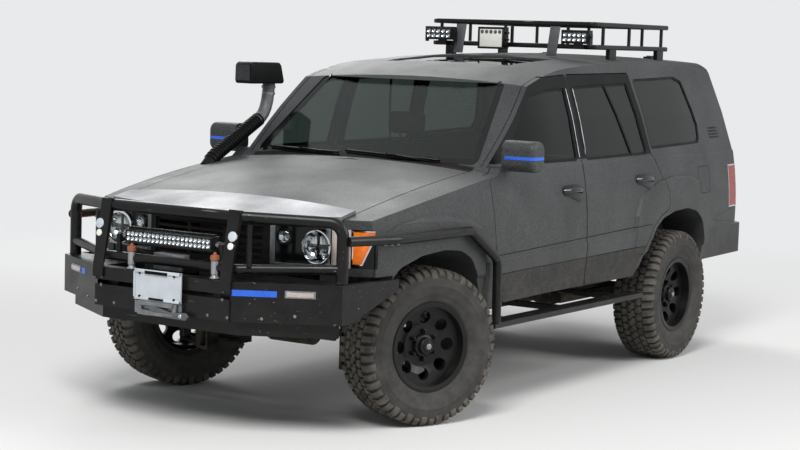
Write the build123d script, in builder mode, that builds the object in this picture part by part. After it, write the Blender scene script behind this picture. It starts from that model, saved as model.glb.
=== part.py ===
from build123d import *
import os
from math import atan2, cos, degrees, pi, radians, sin

os.makedirs("parts", exist_ok=True)

# Lifted off-road 4x4 wagon, all sizes in millimetres.
# Stations run along the vehicle from the front axle, positive to the rear,
# heights from the ground, and +X is the vehicle's left.

# Running gear
wheelbase = 2850
track = 1640
tyre_radius = 410
tyre_width = 285
lug_depth = 12
lug_pitches = 18
rim_radius = 216
rim_lip_radius = 233
rim_width = 216
hub_bore = 32
kingpin_offset = 60
parked_steer = 22.5
running_gap = 0.3

# Body
body_half_width = 941
sill_height = 560
belt_height = 1305
gutter_height = 1830
crown_depth = 7000
nose_station = -790
tail_offset = 1055
front_taper_radius = 5600
rear_taper_radius = 8100
cabin_taper_radius = 3100
panel_gap = 6
seam = 0.3
door_depth = 60
frame_depth = 28
wall_depth = 100
pillar_depth = 58
door_lean = 0.25
glass_inset = 8
glass_thickness = 6
floor_height = 640
floor_thickness = 20
load_floor_height = 800
hood_half_width = 740
hood_thickness = 30
hood_rear = 546
screen_foot = 576

# Frame
rail_bottom = 500
rail_top = 615
rail_inner = 370
rail_width = 70
rail_front = -748
rail_tail = 1030

# Equipment
front_reach = 1166
rear_reach = 1190
bar_top = 796
bar_bottom = 601
bar_tube = 30
bumper_top = 800
bumper_bottom = 600
step_top = 487
step_thickness = 32
step_outer = 1000
rail_tube = 25
rack_bottom = 1955
rack_top = 2125
rack_half_width = 605
rack_front = 2240
rack_length = 1070
rack_tube = 15
mirror_reach = 1110

rear_axle = wheelbase
wheel_centre = track / 2
kingpin = wheel_centre - kingpin_offset
shift = (front_reach - (wheelbase + rear_reach)) / 2
straight_start = 250
cabin_straight_start = 1300
straight_end = rear_axle + 100
outside = body_half_width + 160


def side(x):
    """Plane at x whose own axes are station and height, facing the vehicle's left."""
    return Plane(origin=(x, shift, 0), x_dir=(0, 1, 0), z_dir=(1, 0, 0))


def front(y):
    """Plane at station y whose own axes are x and height, facing forwards."""
    return Plane(origin=(0, shift + y, 0), x_dir=(1, 0, 0), z_dir=(0, -1, 0))


def level(z):
    """Plane at height z whose own axes are x and station, facing up."""
    return Plane(origin=(0, shift, z), x_dir=(1, 0, 0), z_dir=(0, 0, 1))


def place(x, y, z):
    """Point at x, station y and height z."""
    return (x, shift + y, z)


def save(piece, name):
    """Label the piece and write it."""
    piece.part.label = name
    export_step(piece.part, f"parts/{name}.step")


# Body form: half a cross section, carried along the plan curve of the side
def lower_half(plane, low, bottom):
    """Half cross section under the belt, its side moved in by low."""
    w = body_half_width
    with BuildSketch(plane) as section:
        with BuildLine():
            if low == 0:
                Polyline((0, belt_height), (0, bottom), (w - 91, bottom), (w - 36, bottom + 15),
                         (w - 16, bottom + 80))
            else:
                Polyline((0, belt_height), (0, bottom), (w - 16 - low, bottom),
                         (w - 16 - low, sill_height + 80))
            ThreePointArc((w - 16 - low, sill_height + 80), (w - low, sill_height + 340),
                          (w - 39 - low, belt_height - 10))
            Polyline((w - 39 - low, belt_height - 10), (w - 44 - low, belt_height), (0, belt_height))
        make_face()
    return section.sketch


def upper_half(plane, high, foot):
    """Half cross section from foot up to the roof, its side moved in by high."""
    w = body_half_width
    with BuildSketch(plane) as section:
        with BuildLine():
            Polyline((0, gutter_height + 200), (0, foot), (w - 46 - high, foot),
                     (w - 46 - high, belt_height), (w - 109 - high, belt_height + 255),
                     (w - 196 - high, gutter_height))
            ThreePointArc((w - 196 - high, gutter_height), (w - 224 - high, gutter_height + 44),
                          (w - 301 - high, gutter_height + 78))
            Polyline((w - 301 - high, gutter_height + 78), (w - 301 - high, gutter_height + 200),
                     (0, gutter_height + 200))
        make_face()
    return section.sketch


def carried(low, high, bottom):
    """Both halves of the section carried straight, then along the front and rear tapers."""
    front_centre = body_half_width - front_taper_radius
    upper_centre = body_half_width - cabin_taper_radius
    rear_centre = body_half_width - rear_taper_radius
    front_turn = degrees(atan2(straight_start - nose_station + 160, -front_centre))
    upper_turn = degrees(atan2(cabin_straight_start - screen_foot + 70, -upper_centre))
    rear_turn = degrees(atan2(tail_offset + 50, -rear_centre))
    foot = belt_height - 5
    with BuildPart() as half:
        lower_fore = lower_half(front(straight_start), low, bottom)
        extrude(lower_fore, amount=straight_start - straight_end)
        revolve(lower_fore, Axis(place(front_centre, straight_start, 0), (0, 0, -1)), front_turn)
        upper_fore = upper_half(front(cabin_straight_start), high, foot)
        extrude(upper_fore, amount=cabin_straight_start - straight_end)
        revolve(upper_fore, Axis(place(upper_centre, cabin_straight_start, 0), (0, 0, -1)),
                upper_turn)
        lower_aft = lower_half(front(straight_end), low, bottom)
        revolve(lower_aft, Axis(place(rear_centre, straight_end, 0), (0, 0, 1)), rear_turn)
        upper_aft = upper_half(front(straight_end), high, foot)
        revolve(upper_aft, Axis(place(rear_centre, straight_end, 0), (0, 0, 1)), rear_turn)
    with BuildPart() as whole:
        add(half.part)
        mirror(about=Plane.YZ)
    return whole.part


def crowned(profile):
    """Solid of a side silhouette, turned about an axis far below, which gives the crown."""
    fan = 9
    tilt = radians(-fan)
    plane = Plane(origin=place(0, 0, -crown_depth), x_dir=(0, 1, 0),
                  z_dir=(cos(tilt), 0, -sin(tilt)))
    with BuildPart() as dome:
        with BuildSketch(plane):
            with Locations((0, crown_depth)):
                add(profile)
        revolve(axis=Axis(place(0, 0, -crown_depth), (0, 1, 0)), revolution_arc=2 * fan)
    return dome.part


with BuildSketch() as outer_silhouette:
    with BuildLine():
        Line((nose_station - 40, 300), (nose_station - 40, 1080))
        ThreePointArc((nose_station - 40, 1080), (-300, 1190), (screen_foot, 1318))
        Line((screen_foot, 1318), (1105, 1773))
        ThreePointArc((1105, 1773), (1318, 1830), (1700, 1879))
        ThreePointArc((1700, 1879), (2448, 1915), (rear_axle + 630, 1910))
        ThreePointArc((rear_axle + 630, 1910), (rear_axle + 750, 1900), (rear_axle + 840, 1862))
        Polyline((rear_axle + 840, 1862), (rear_axle + 1000, 1340), (rear_axle + tail_offset, 1200),
                 (rear_axle + tail_offset, 300), (nose_station - 40, 300))
    make_face()

with BuildSketch() as inner_silhouette:
    with BuildLine():
        Polyline((hood_rear + 50, 300), (hood_rear + 50, 1250), (1190, 1760))
        ThreePointArc((1190, 1760), (1400, 1806), (1700, 1836))
        ThreePointArc((1700, 1836), (2448, 1872), (rear_axle + 610, 1866))
        Polyline((rear_axle + 610, 1866), (rear_axle + 790, 1825), (rear_axle + 940, 1335),
                 (rear_axle + tail_offset - 70, 1190), (rear_axle + tail_offset - 70, 300),
                 (hood_rear + 50, 300))
    make_face()

with BuildPart() as plan_form:
    with BuildSketch(level(300)):
        with BuildLine():
            nose_side = nose_station + 294
            tail_side = rear_axle + tail_offset - 77
            ThreePointArc((-1000, nose_side), (0, nose_station), (1000, nose_side))
            Line((1000, nose_side), (1000, tail_side))
            ThreePointArc((1000, tail_side), (0, rear_axle + tail_offset), (-1000, tail_side))
            Line((-1000, tail_side), (-1000, nose_side))
        make_face()
    extrude(amount=1900)

with BuildPart() as outer_form:
    add(carried(0, 0, sill_height))
    add(crowned(outer_silhouette.sketch), mode=Mode.INTERSECT)
    add(plan_form.part, mode=Mode.INTERSECT)

with BuildPart() as door_back:
    add(carried(door_depth, frame_depth, 300))

with BuildPart() as flange_face:
    add(carried(door_depth + panel_gap, frame_depth + panel_gap, 300))

with BuildPart() as cabin_void:
    add(carried(wall_depth, pillar_depth, 300))
    add(crowned(inner_silhouette.sketch), mode=Mode.INTERSECT)


# Outlines of the openings, seen from the side: station and height
front_door_line = [(630, 575), (533, 900), (488, 1235), (535, 1262), (775, 1448), (962, 1660),
                   (1087, 1748), (1258, 1786), (1572, 1803), (1556, 1297), (1572, 590)]
rear_door_line = [(1584, 590), (1568, 1297), (1584, 1804), (rear_axle - 460, 1814),
                  (rear_axle - 364, 1328), (rear_axle - 264, 1192), (rear_axle - 193, 1078),
                  (rear_axle - 180, 1009), (rear_axle - 220, 968), (rear_axle - 310, 938),
                  (rear_axle - 410, 875), (rear_axle - 480, 785), (rear_axle - 570, 670),
                  (rear_axle - 630, 590)]
wing_line = [(-900, 500), (-900, 1400), (464, 1400), (482, 1235), (527, 900), (624, 575), (626, 500)]
front_aperture = [(700, 690), (640, 1000), (640, 1215), (720, 1330), (835, 1449), (968, 1618),
                  (1075, 1705), (1290, 1746), (1535, 1758), (1535, 690)]
rear_aperture = [(1612, 690), (1612, 1764), (rear_axle - 510, 1776), (rear_axle - 410, 1330),
                 (rear_axle - 350, 1190), (rear_axle - 310, 1060), (rear_axle - 370, 990),
                 (rear_axle - 520, 930), (rear_axle - 620, 800), (rear_axle - 690, 690)]
front_window = [(736, 1313), (853, 1449), (983, 1611), (1084, 1687), (1296, 1722), (1530, 1732),
                (1520, 1313)]
rear_window = [(1622, 1313), (1634, 1738), (rear_axle - 505, 1758), (rear_axle - 412, 1345),
               (rear_axle - 430, 1320)]
quarter_window = [(rear_axle - 345, 1350), (rear_axle - 412, 1780), (rear_axle + 195, 1796),
                  (rear_axle + 300, 1765), (rear_axle + 412, 1480), (rear_axle + 400, 1396),
                  (rear_axle + 372, 1368)]
roof_half = 640
gate_half = 706
gate_split = 1181
gate_hinge_station = rear_axle + 590
gate_hinge_height = 1914
gate_barrel = 10.4
tailgate_bottom = 825
arch_lip = 4


def skin_x(y, z):
    """Distance of the body's outer skin from the centre plane at a station and height."""
    rows = [(0, 36), (sill_height, 36), (sill_height + 80, 16), (sill_height + 340, 0),
            (belt_height - 10, 39), (belt_height + 255, 109), (gutter_height, 196), (3000, 196)]
    inset = 0
    for (low_z, low_in), (high_z, high_in) in zip(rows, rows[1:]):
        if low_z <= z < high_z:
            inset = low_in + (z - low_z) / (high_z - low_z) * (high_in - low_in)
    if z > belt_height:
        taper = max(0, cabin_straight_start - y) ** 2 / (2 * cabin_taper_radius)
    else:
        taper = max(0, straight_start - y) ** 2 / (2 * front_taper_radius)
    return body_half_width - inset - taper


def leaning_prism(points, grow=0.0, corner=18.0):
    """Prism of a side outline whose walls run inwards and forwards, on the left."""
    drawn = [(y + door_lean * (outside - skin_x(y, z)), z) for y, z in points]
    with BuildSketch(side(outside)) as outline:
        with BuildLine():
            Polyline(*drawn, close=True)
        make_face()
        fillet(outline.vertices(), radius=corner)
        offset(amount=grow)
    with BuildPart() as prism:
        extrude(outline.sketch, amount=470, dir=(-1, -door_lean, 0))
    return prism.part


def side_prism(points, grow=0.0, corner=25.0, reach=470):
    """Prism of a side outline with walls straight across, on the left."""
    with BuildSketch(side(outside)) as outline:
        with BuildLine():
            Polyline(*points, close=True)
        make_face()
        if corner:
            fillet(outline.vertices(), radius=corner)
        offset(amount=grow)
    with BuildPart() as prism:
        extrude(outline.sketch, amount=-reach)
    return prism.part


def box_between(x0, x1, y0, y1, z0, z1):
    """Block between two values of x, station and height."""
    with BuildPart() as block:
        with BuildSketch(level(z0)):
            with Locations(((x0 + x1) / 2, (y0 + y1) / 2)):
                Rectangle(x1 - x0, y1 - y0)
        extrude(amount=z1 - z0)
    return block.part


def arch_sketch(plane, rows, grow):
    """Wheel arch: rounded corners at each point, closed far below."""
    with BuildSketch(plane) as arch:
        with BuildLine():
            Polyline(*rows, (rows[-1][0], 300), (rows[0][0], 300), close=True)
        make_face()
        fillet(arch.vertices(), radius=arch_corner)
        if grow:
            offset(amount=grow)
    return arch.sketch


arch_corner = 150
front_arch = [(-472, 740), (-390, 842), (-200, 896), (0, 912), (150, 898), (262, 848),
              (345, 735), (444, 560)]
rear_arch = [(rear_axle - 594, 559), (rear_axle - 365, 864), (rear_axle - 270, 920),
             (rear_axle - 110, 954), (rear_axle + 90, 964), (rear_axle + 230, 938),
             (rear_axle + 330, 874), (rear_axle + 392, 740)]

# Raised blisters over the arches, seen from the side, and the lower mouldings
flare_height = 14
flare_slope = 55
front_flare = [(-560, 700), (-560, 985), (-393, 1058), (-206, 1090), (37, 1103), (268, 1082),
               (402, 1036), (452, 960), (470, 700)]
rear_flare = [(rear_axle - 655, 700), (rear_axle - 645, 960), (rear_axle - 575, 1062),
              (rear_axle - 440, 1108), (rear_axle - 290, 1150), (rear_axle - 90, 1175),
              (rear_axle + 125, 1168), (rear_axle + 300, 1122), (rear_axle + 445, 1050),
              (rear_axle + 500, 960), (rear_axle + 500, 700)]
moulding_height = 7
moulding_line = [(430, 500), (430, 828), (rear_axle - 230, 890), (rear_axle - 230, 500)]
corner_moulding = [(rear_axle + 330, bumper_top + 8), (rear_axle + 360, 903),
                   (rear_axle + 812, 932), (rear_axle + tail_offset - 80, 934),
                   (rear_axle + tail_offset - 80, bumper_top + 8)]


def arch_tunnel(rows, grow, x0, x1):
    """Arch outline run from x0 out to x1."""
    with BuildPart() as tunnel:
        extrude(arch_sketch(side(x0), rows, grow), amount=x1 - x0)
    return tunnel.part


def raised(points, height, slope, depth):
    """Raised patch of the side skin inside an outline, sloping from a depth out, on the left."""
    foot = body_half_width - depth
    with BuildPart() as patch:
        with BuildSketch(side(foot)):
            with BuildLine():
                Polyline(*points, close=True)
            make_face()
        extrude(amount=height + depth, taper=slope)
        with BuildSketch(side(foot)):
            with BuildLine():
                Polyline(*points, close=True)
            make_face()
        extrude(amount=-160)
        add(carried(-height, 0, 400), mode=Mode.INTERSECT)
    return patch.part


def gate_prism(grow, station):
    """Opening of the upper gate seen from behind, run rearwards from the station."""
    with BuildSketch(front(station)) as outline:
        with BuildLine():
            Polyline((-gate_half, 2000), (gate_half, 2000), (gate_half, gate_split + 3),
                     (-gate_half, gate_split + 3), close=True)
        make_face()
        offset(amount=grow)
    with BuildPart() as prism:
        extrude(outline.sketch, amount=-700)
    return prism.part


def screen_prism(grow):
    """Windscreen outline seen from the front, run rearwards."""
    with BuildSketch(front(screen_foot - 30)) as outline:
        with BuildLine():
            Polyline((-626, 1750), (626, 1750), (757, 1312), (-757, 1312), close=True)
        make_face()
        fillet(outline.vertices(), radius=30)
        offset(amount=grow)
    with BuildPart() as prism:
        extrude(outline.sketch, amount=-700)
    return prism.part


def gate_glass_prism(grow):
    """Window of the upper gate seen from behind, run rearwards."""
    with BuildSketch(front(rear_axle + 700)) as outline:
        with BuildLine():
            Polyline((-590, 1790), (590, 1790), (630, 1300), (-630, 1300), close=True)
        make_face()
        fillet(outline.vertices(), radius=45)
        offset(amount=grow)
    with BuildPart() as prism:
        extrude(outline.sketch, amount=-500)
    return prism.part


with BuildPart() as pane_face:
    add(carried(glass_inset, glass_inset, 300))

with BuildPart() as pane_back:
    add(carried(glass_inset + glass_thickness, glass_inset + glass_thickness, 300))

# Body side: pillars, sill, quarter and rear wheelhouse
side_zone = box_between(roof_half + seam, outside, -900, rear_axle + 1200, 300, 2100)
wing_zone = leaning_prism(wing_line, corner=5)
lamp_half = 792
lamp_low = 925
lamp_high = 1210

with BuildPart() as tail_lamp_left:
    add(outer_form.part)
    add(box_between(lamp_half, outside, rear_axle + 840, rear_axle + 1100, lamp_low, lamp_high),
        mode=Mode.INTERSECT)
    add(outer_form.part.moved(Location((0, -70, 0))), mode=Mode.SUBTRACT)

with BuildPart() as front_recess:
    add(leaning_prism(front_door_line, panel_gap))
    add(flange_face.part, mode=Mode.SUBTRACT)

with BuildPart() as rear_recess:
    add(leaning_prism(rear_door_line, panel_gap))
    add(flange_face.part, mode=Mode.SUBTRACT)

with BuildPart() as side_patches:
    add(raised(rear_flare, flare_height, flare_slope, 8))
    add(raised(corner_moulding, moulding_height, 40, 60))

with BuildPart() as body_side_left:
    add(outer_form.part)
    add(side_zone, mode=Mode.INTERSECT)
    add(side_patches.part)
    add(cabin_void.part, mode=Mode.SUBTRACT)
    add(wing_zone, mode=Mode.SUBTRACT)
    add(box_between(0, roof_half + 107, -900, hood_rear + 50, 300, 2100), mode=Mode.SUBTRACT)
    add(front_recess.part, mode=Mode.SUBTRACT)
    add(rear_recess.part, mode=Mode.SUBTRACT)
    add(side_prism(front_aperture), mode=Mode.SUBTRACT)
    add(side_prism(rear_aperture), mode=Mode.SUBTRACT)
    add(side_prism(quarter_window), mode=Mode.SUBTRACT)
    add(screen_prism(0), mode=Mode.SUBTRACT)
    add(gate_prism(panel_gap, gate_hinge_station), mode=Mode.SUBTRACT)
    add(box_between(0, gate_half + panel_gap, rear_axle + 800, rear_axle + 1100,
                    tailgate_bottom - panel_gap, gate_split), mode=Mode.SUBTRACT)
    add(box_between(lamp_half - seam, outside, rear_axle + 840, rear_axle + 1100,
                    lamp_low - seam, lamp_high + seam), mode=Mode.SUBTRACT)
    add(box_between(roof_half + 108, body_half_width - 82, hood_rear + 30, rear_axle - 600,
                    sill_height + 5, sill_height + 128))
    add(arch_tunnel(rear_arch, arch_lip + 8, roof_half + 5, body_half_width - 50))
    add(arch_tunnel(rear_arch, 0, roof_half + 13, outside), mode=Mode.SUBTRACT)
    add(box_between(0, outside, -900, rear_axle + 1200, 0, sill_height), mode=Mode.SUBTRACT)
    add(box_between(0, outside, rear_axle + 456, rear_axle + 1200, 0, bumper_top + panel_gap),
        mode=Mode.SUBTRACT)

with BuildPart() as roof_panel:
    add(outer_form.part)
    add(box_between(-roof_half, roof_half, screen_foot, gate_hinge_station, 1500, 2100),
        mode=Mode.INTERSECT)
    add(cabin_void.part, mode=Mode.SUBTRACT)
    add(screen_prism(0), mode=Mode.SUBTRACT)
    add(box_between(-430, 430, 1480, 2020, 1500, 2100), mode=Mode.SUBTRACT)
    for hand in (-1, 1):
        with BuildSketch(side(hand * 400 - 30)):
            with Locations((gate_hinge_station + panel_gap / 2, gate_hinge_height)):
                Circle(gate_barrel)
        extrude(amount=60)
        add(box_between(hand * 400 - 30, hand * 400 + 30, gate_hinge_station - 50,
                        gate_hinge_station, 1885, gate_hinge_height + 4))

with BuildPart() as tail_panel:
    add(outer_form.part)
    add(box_between(-roof_half, roof_half, rear_axle + 900, rear_axle + 1100, floor_height,
                    tailgate_bottom - panel_gap), mode=Mode.INTERSECT)
    add(cabin_void.part, mode=Mode.SUBTRACT)
    for hand in (-1, 1):
        add(box_between(hand * 500 - 40, hand * 500 + 40, rear_axle + 990, rear_axle + 1030,
                        tailgate_bottom - 30, tailgate_bottom - seam))

with BuildPart() as bulkhead:
    add(outer_form.part)
    add(box_between(-roof_half - 106, roof_half + 106, hood_rear + panel_gap, hood_rear + 50,
                    floor_height - floor_thickness, 2100), mode=Mode.INTERSECT)
    add(screen_prism(0), mode=Mode.SUBTRACT)
    add(box_between(-172, 172, hood_rear, hood_rear + 60, 600, floor_height + 95),
        mode=Mode.SUBTRACT)

# Doors, each a slice of the wall with its window cut through
with BuildPart() as lower_moulding:
    add(raised(moulding_line, moulding_height, 40, 20))

with BuildPart() as front_door_moulding:
    add(leaning_prism(front_door_line))
    add(lower_moulding.part, mode=Mode.INTERSECT)

with BuildPart() as rear_door_patches:
    add(lower_moulding.part)
    add(raised(rear_flare, flare_height, flare_slope, 8))
    add(leaning_prism(rear_door_line), mode=Mode.INTERSECT)

with BuildPart() as front_door_left:
    add(leaning_prism(front_door_line))
    add(outer_form.part, mode=Mode.INTERSECT)
    add(front_door_moulding.part)
    add(door_back.part, mode=Mode.SUBTRACT)
    add(side_prism(front_window), mode=Mode.SUBTRACT)

with BuildPart() as rear_door_left:
    add(leaning_prism(rear_door_line))
    add(outer_form.part, mode=Mode.INTERSECT)
    add(rear_door_patches.part)
    add(door_back.part, mode=Mode.SUBTRACT)
    add(side_prism(rear_window), mode=Mode.SUBTRACT)

with BuildPart() as front_glass_left:
    add(side_prism(front_window, -seam))
    add(pane_face.part, mode=Mode.INTERSECT)
    add(pane_back.part, mode=Mode.SUBTRACT)

with BuildPart() as rear_glass_left:
    add(side_prism(rear_window, -seam))
    add(pane_face.part, mode=Mode.INTERSECT)
    add(pane_back.part, mode=Mode.SUBTRACT)

with BuildPart() as quarter_glass_left:
    add(side_prism(quarter_window, -seam))
    add(pane_face.part, mode=Mode.INTERSECT)
    add(pane_back.part, mode=Mode.SUBTRACT)

with BuildPart() as windscreen:
    add(screen_prism(-seam))
    add(outer_form.part.moved(Location((0, 0, -glass_inset))), mode=Mode.INTERSECT)
    add(outer_form.part.moved(Location((0, 0, -glass_inset - glass_thickness * 1.3))),
        mode=Mode.SUBTRACT)

# Upper gate, lower gate and the upper gate's window
with BuildPart() as liftgate:
    add(gate_prism(0, gate_hinge_station + panel_gap))
    add(outer_form.part, mode=Mode.INTERSECT)
    add(cabin_void.part, mode=Mode.SUBTRACT)
    add(gate_glass_prism(0), mode=Mode.SUBTRACT)

with BuildPart() as tailgate:
    add(box_between(-gate_half, gate_half, rear_axle + 850, rear_axle + 1100,
                    tailgate_bottom, gate_split - 3))
    add(outer_form.part, mode=Mode.INTERSECT)
    add(cabin_void.part, mode=Mode.SUBTRACT)

with BuildPart() as gate_glass:
    add(gate_glass_prism(-seam))
    add(outer_form.part.moved(Location((0, -glass_inset, 0))), mode=Mode.INTERSECT)
    add(outer_form.part.moved(Location((0, -glass_inset - glass_thickness, 0))),
        mode=Mode.SUBTRACT)

# Hood and its protector
with BuildPart() as hood:
    add(box_between(-hood_half_width, hood_half_width, -900, hood_rear - 6, 800, 1500))
    add(outer_form.part, mode=Mode.INTERSECT)
    add(outer_form.part.moved(Location((0, -20, -hood_thickness))), mode=Mode.SUBTRACT)

with BuildPart() as hood_protector:
    add(box_between(-hood_half_width + 2, hood_half_width - 2, -900, -520, 1062, 1500))
    add(outer_form.part.moved(Location((0, -14, 14))), mode=Mode.INTERSECT)
    add(outer_form.part.moved(Location((0, -0.4, 0.4))), mode=Mode.SUBTRACT)

# Front wing with its liner, the front panel with its grille, and the lamps
lamp_floor = 852
lamp_roof = 1044
lamp_inner = 386
lamp_depth = 130
lamp_rear = -548
front_face_low = 812
liner_face = 470.5

with BuildPart() as wing_void:
    add(carried(45, 45, 300))
    add(outer_form.part.moved(Location((0, 25, -hood_thickness))), mode=Mode.INTERSECT)

with BuildPart() as wing_patches:
    add(raised(front_flare, flare_height, flare_slope, 26))
    add(lower_moulding.part)
    add(wing_zone, mode=Mode.INTERSECT)

with BuildPart() as wing_left:
    add(wing_zone)
    add(outer_form.part, mode=Mode.INTERSECT)
    add(wing_patches.part)
    add(box_between(hood_half_width + panel_gap, outside, -900, 700, 300, 1500),
        mode=Mode.INTERSECT)
    add(wing_void.part, mode=Mode.SUBTRACT)
    add(arch_tunnel(front_arch, arch_lip + 8, 470, body_half_width - 42))
    add(box_between(liner_face - 8.5, liner_face, -560, 470, 640, 1080))
    add(arch_tunnel(front_arch, 0, 470, outside), mode=Mode.SUBTRACT)
    add(box_between(300, outside, -900, -430, 0, front_face_low), mode=Mode.SUBTRACT)
    add(box_between(300, outside, -900, lamp_rear, lamp_floor - seam, lamp_roof + seam),
        mode=Mode.SUBTRACT)
    add(box_between(300, outside, -900, 700, 0, sill_height), mode=Mode.SUBTRACT)

with BuildPart() as front_panel:
    add(box_between(-hood_half_width - 5, hood_half_width + 5, -900, -640, front_face_low, 1049))
    add(outer_form.part, mode=Mode.INTERSECT)
    add(outer_form.part.moved(Location((0, 60, 0))), mode=Mode.SUBTRACT)
    add(box_between(-350, 350, -900, -600, 850, 1034), mode=Mode.SUBTRACT)
    for hand in (-1, 1):
        mid = hand * (lamp_inner + outside) / 2
        half = (outside - lamp_inner) / 2 + seam
        add(box_between(mid - half, mid + half, -900, -600, lamp_floor - seam, lamp_roof + seam),
            mode=Mode.SUBTRACT)
    for x in (-300, 300):
        with BuildPart(mode=Mode.PRIVATE) as buffer:
            with BuildSketch(level(1040)):
                with Locations((x, -730)):
                    Circle(14)
            extrude(amount=100)
            add(outer_form.part.moved(Location((0, -20, -hood_thickness - seam))),
                mode=Mode.INTERSECT)
        add(buffer.part)

with BuildPart() as grille:
    add(box_between(-349.7, 349.7, -900, -640, 850.3, 1033.7))
    add(outer_form.part.moved(Location((0, 12, 0))), mode=Mode.INTERSECT)
    add(outer_form.part.moved(Location((0, 44, 0))), mode=Mode.SUBTRACT)
    with BuildSketch(front(-640)):
        with Locations((0, 942)):
            with GridLocations(230, 34, 3, 5):
                SlotOverall(214, 22)
    extrude(amount=300, mode=Mode.SUBTRACT)

main_lamp = (637, 952)
inner_lamp = (462, 985)

with BuildPart() as headlamp_left:
    add(box_between(lamp_inner, outside, -900, lamp_rear - seam, lamp_floor, lamp_roof))
    add(outer_form.part, mode=Mode.INTERSECT)
    add(outer_form.part.moved(Location((0, lamp_depth, 0))), mode=Mode.SUBTRACT)
    with BuildSketch(front(-660)):
        with Locations(main_lamp):
            Circle(88)
    extrude(amount=300, mode=Mode.SUBTRACT)
    with BuildSketch(front(-735)):
        with Locations(inner_lamp):
            Circle(40)
    extrude(amount=200, mode=Mode.SUBTRACT)

with BuildPart() as lamp_lens_left:
    with BuildSketch(front(-660 - seam)):
        with Locations(main_lamp):
            Circle(88 - seam)
    extrude(amount=56)
    fillet(lamp_lens_left.faces().sort_by(Axis.Y)[0].edges(), radius=24)

# Ladder frame with its cross members and body mounts
rail_centre = rail_inner + rail_width / 2
rail_end = rear_axle + rail_tail
cross_members = [-690, 1150, 2350, rear_axle + 420, rail_end - 40]
mount_rows = [-560, 640, 1300, 2000]

with BuildPart() as ladder_frame:
    for hand in (-1, 1):
        x0 = hand * rail_centre - rail_width / 2
        add(box_between(x0, x0 + rail_width, rail_front, rail_end, rail_bottom, rail_top))
    fillet(ladder_frame.edges().filter_by(Axis.Y), radius=12)
    for station in cross_members:
        add(box_between(-rail_inner - 5, rail_inner + 5, station - 35, station + 35,
                        rail_bottom + 20, rail_top - 20))
    for station in mount_rows[1:]:
        for hand in (-1, 1):
            with BuildSketch(level(rail_top - 5)):
                with Locations((hand * rail_centre, station)):
                    Circle(32)
            extrude(amount=floor_height - floor_thickness - rail_top + 5 - seam)

# Floor pan with its tunnel, step and load floor
floor_edge = 744.5
floor_step = rear_axle - 690
load_end = rear_axle + tail_offset - 76

with BuildPart() as floor_pan:
    with BuildSketch(side(-roof_half)):
        with BuildLine():
            Polyline((hood_rear + 50.3, floor_height - floor_thickness),
                     (floor_step + 20, floor_height - floor_thickness),
                     (floor_step + 20, load_floor_height - floor_thickness),
                     (load_end, load_floor_height - floor_thickness),
                     (load_end, load_floor_height), (floor_step, load_floor_height),
                     (floor_step, floor_height), (hood_rear + 50.3, floor_height), close=True)
        make_face()
    extrude(amount=2 * roof_half)
    add(box_between(-floor_edge, floor_edge, hood_rear + 50.3, floor_step,
                    floor_height - floor_thickness, floor_height))
    with BuildSketch(front(hood_rear + 50.3)):
        with BuildLine():
            Polyline((-190, floor_height - 5), (-140, floor_height + 110),
                     (140, floor_height + 110), (190, floor_height - 5), close=True)
        make_face()
    extrude(amount=-(floor_step - hood_rear - 50))
    with BuildSketch(front(hood_rear + 50.3)):
        with BuildLine():
            Polyline((-170, floor_height - 25), (-125, floor_height + 92),
                     (125, floor_height + 92), (170, floor_height - 25), close=True)
        make_face()
    extrude(amount=-(floor_step - hood_rear - 52), mode=Mode.SUBTRACT)

# Engine and gearbox as one plain block, with the driveline behind it
with BuildPart() as powertrain:
    add(box_between(-250, 250, -520, 380, 505, 1010))
    add(box_between(-118, 118, 380, 1100, 430, 640))
    add(box_between(-rail_inner + seam, rail_inner - seam, -40, 40, 540, 590))
    add(box_between(-60, 60, 1100, 1115 - seam, 535, 585))
    shaft_end = rear_axle - 212
    with BuildSketch(Plane(origin=place(0, 1095, 470), z_dir=(0, shaft_end - 1095, -40))):
        Circle(36)
    extrude(amount=shaft_end - 1095)

# Rear axle: casing, tubes, links to the frame
axle_tube = 45
rear_flange = wheel_centre - 95

with BuildPart() as rear_axle_beam:
    with BuildSketch(side(-rear_flange)):
        with Locations((rear_axle, tyre_radius)):
            Circle(axle_tube)
    extrude(amount=2 * rear_flange)
    with BuildSketch(Plane(origin=place(0, rear_axle, tyre_radius), x_dir=(0, 1, 0),
                           z_dir=(1, 0, 0))):
        Circle(150)
    extrude(amount=90, both=True)
    fillet(rear_axle_beam.edges().filter_by(GeomType.CIRCLE).group_by(SortBy.RADIUS)[-1],
           radius=30)
    for hand in (-1, 1):
        with BuildSketch(side(hand * rear_flange)):
            with Locations((rear_axle, tyre_radius)):
                Circle(95)
        extrude(amount=hand * 18)
        with BuildSketch(side(hand * (wheel_centre - 78))):
            with Locations((rear_axle, tyre_radius)):
                Circle(hub_bore - running_gap)
        extrude(amount=hand * 100)

# Front suspension: forked arms on the frame, ball seats, struts, differential and shafts
lower_arm_z = 255
lower_arm_top = lower_arm_z + 20
upper_arm_z = 565
arm_pivot = rail_inner + rail_width


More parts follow.
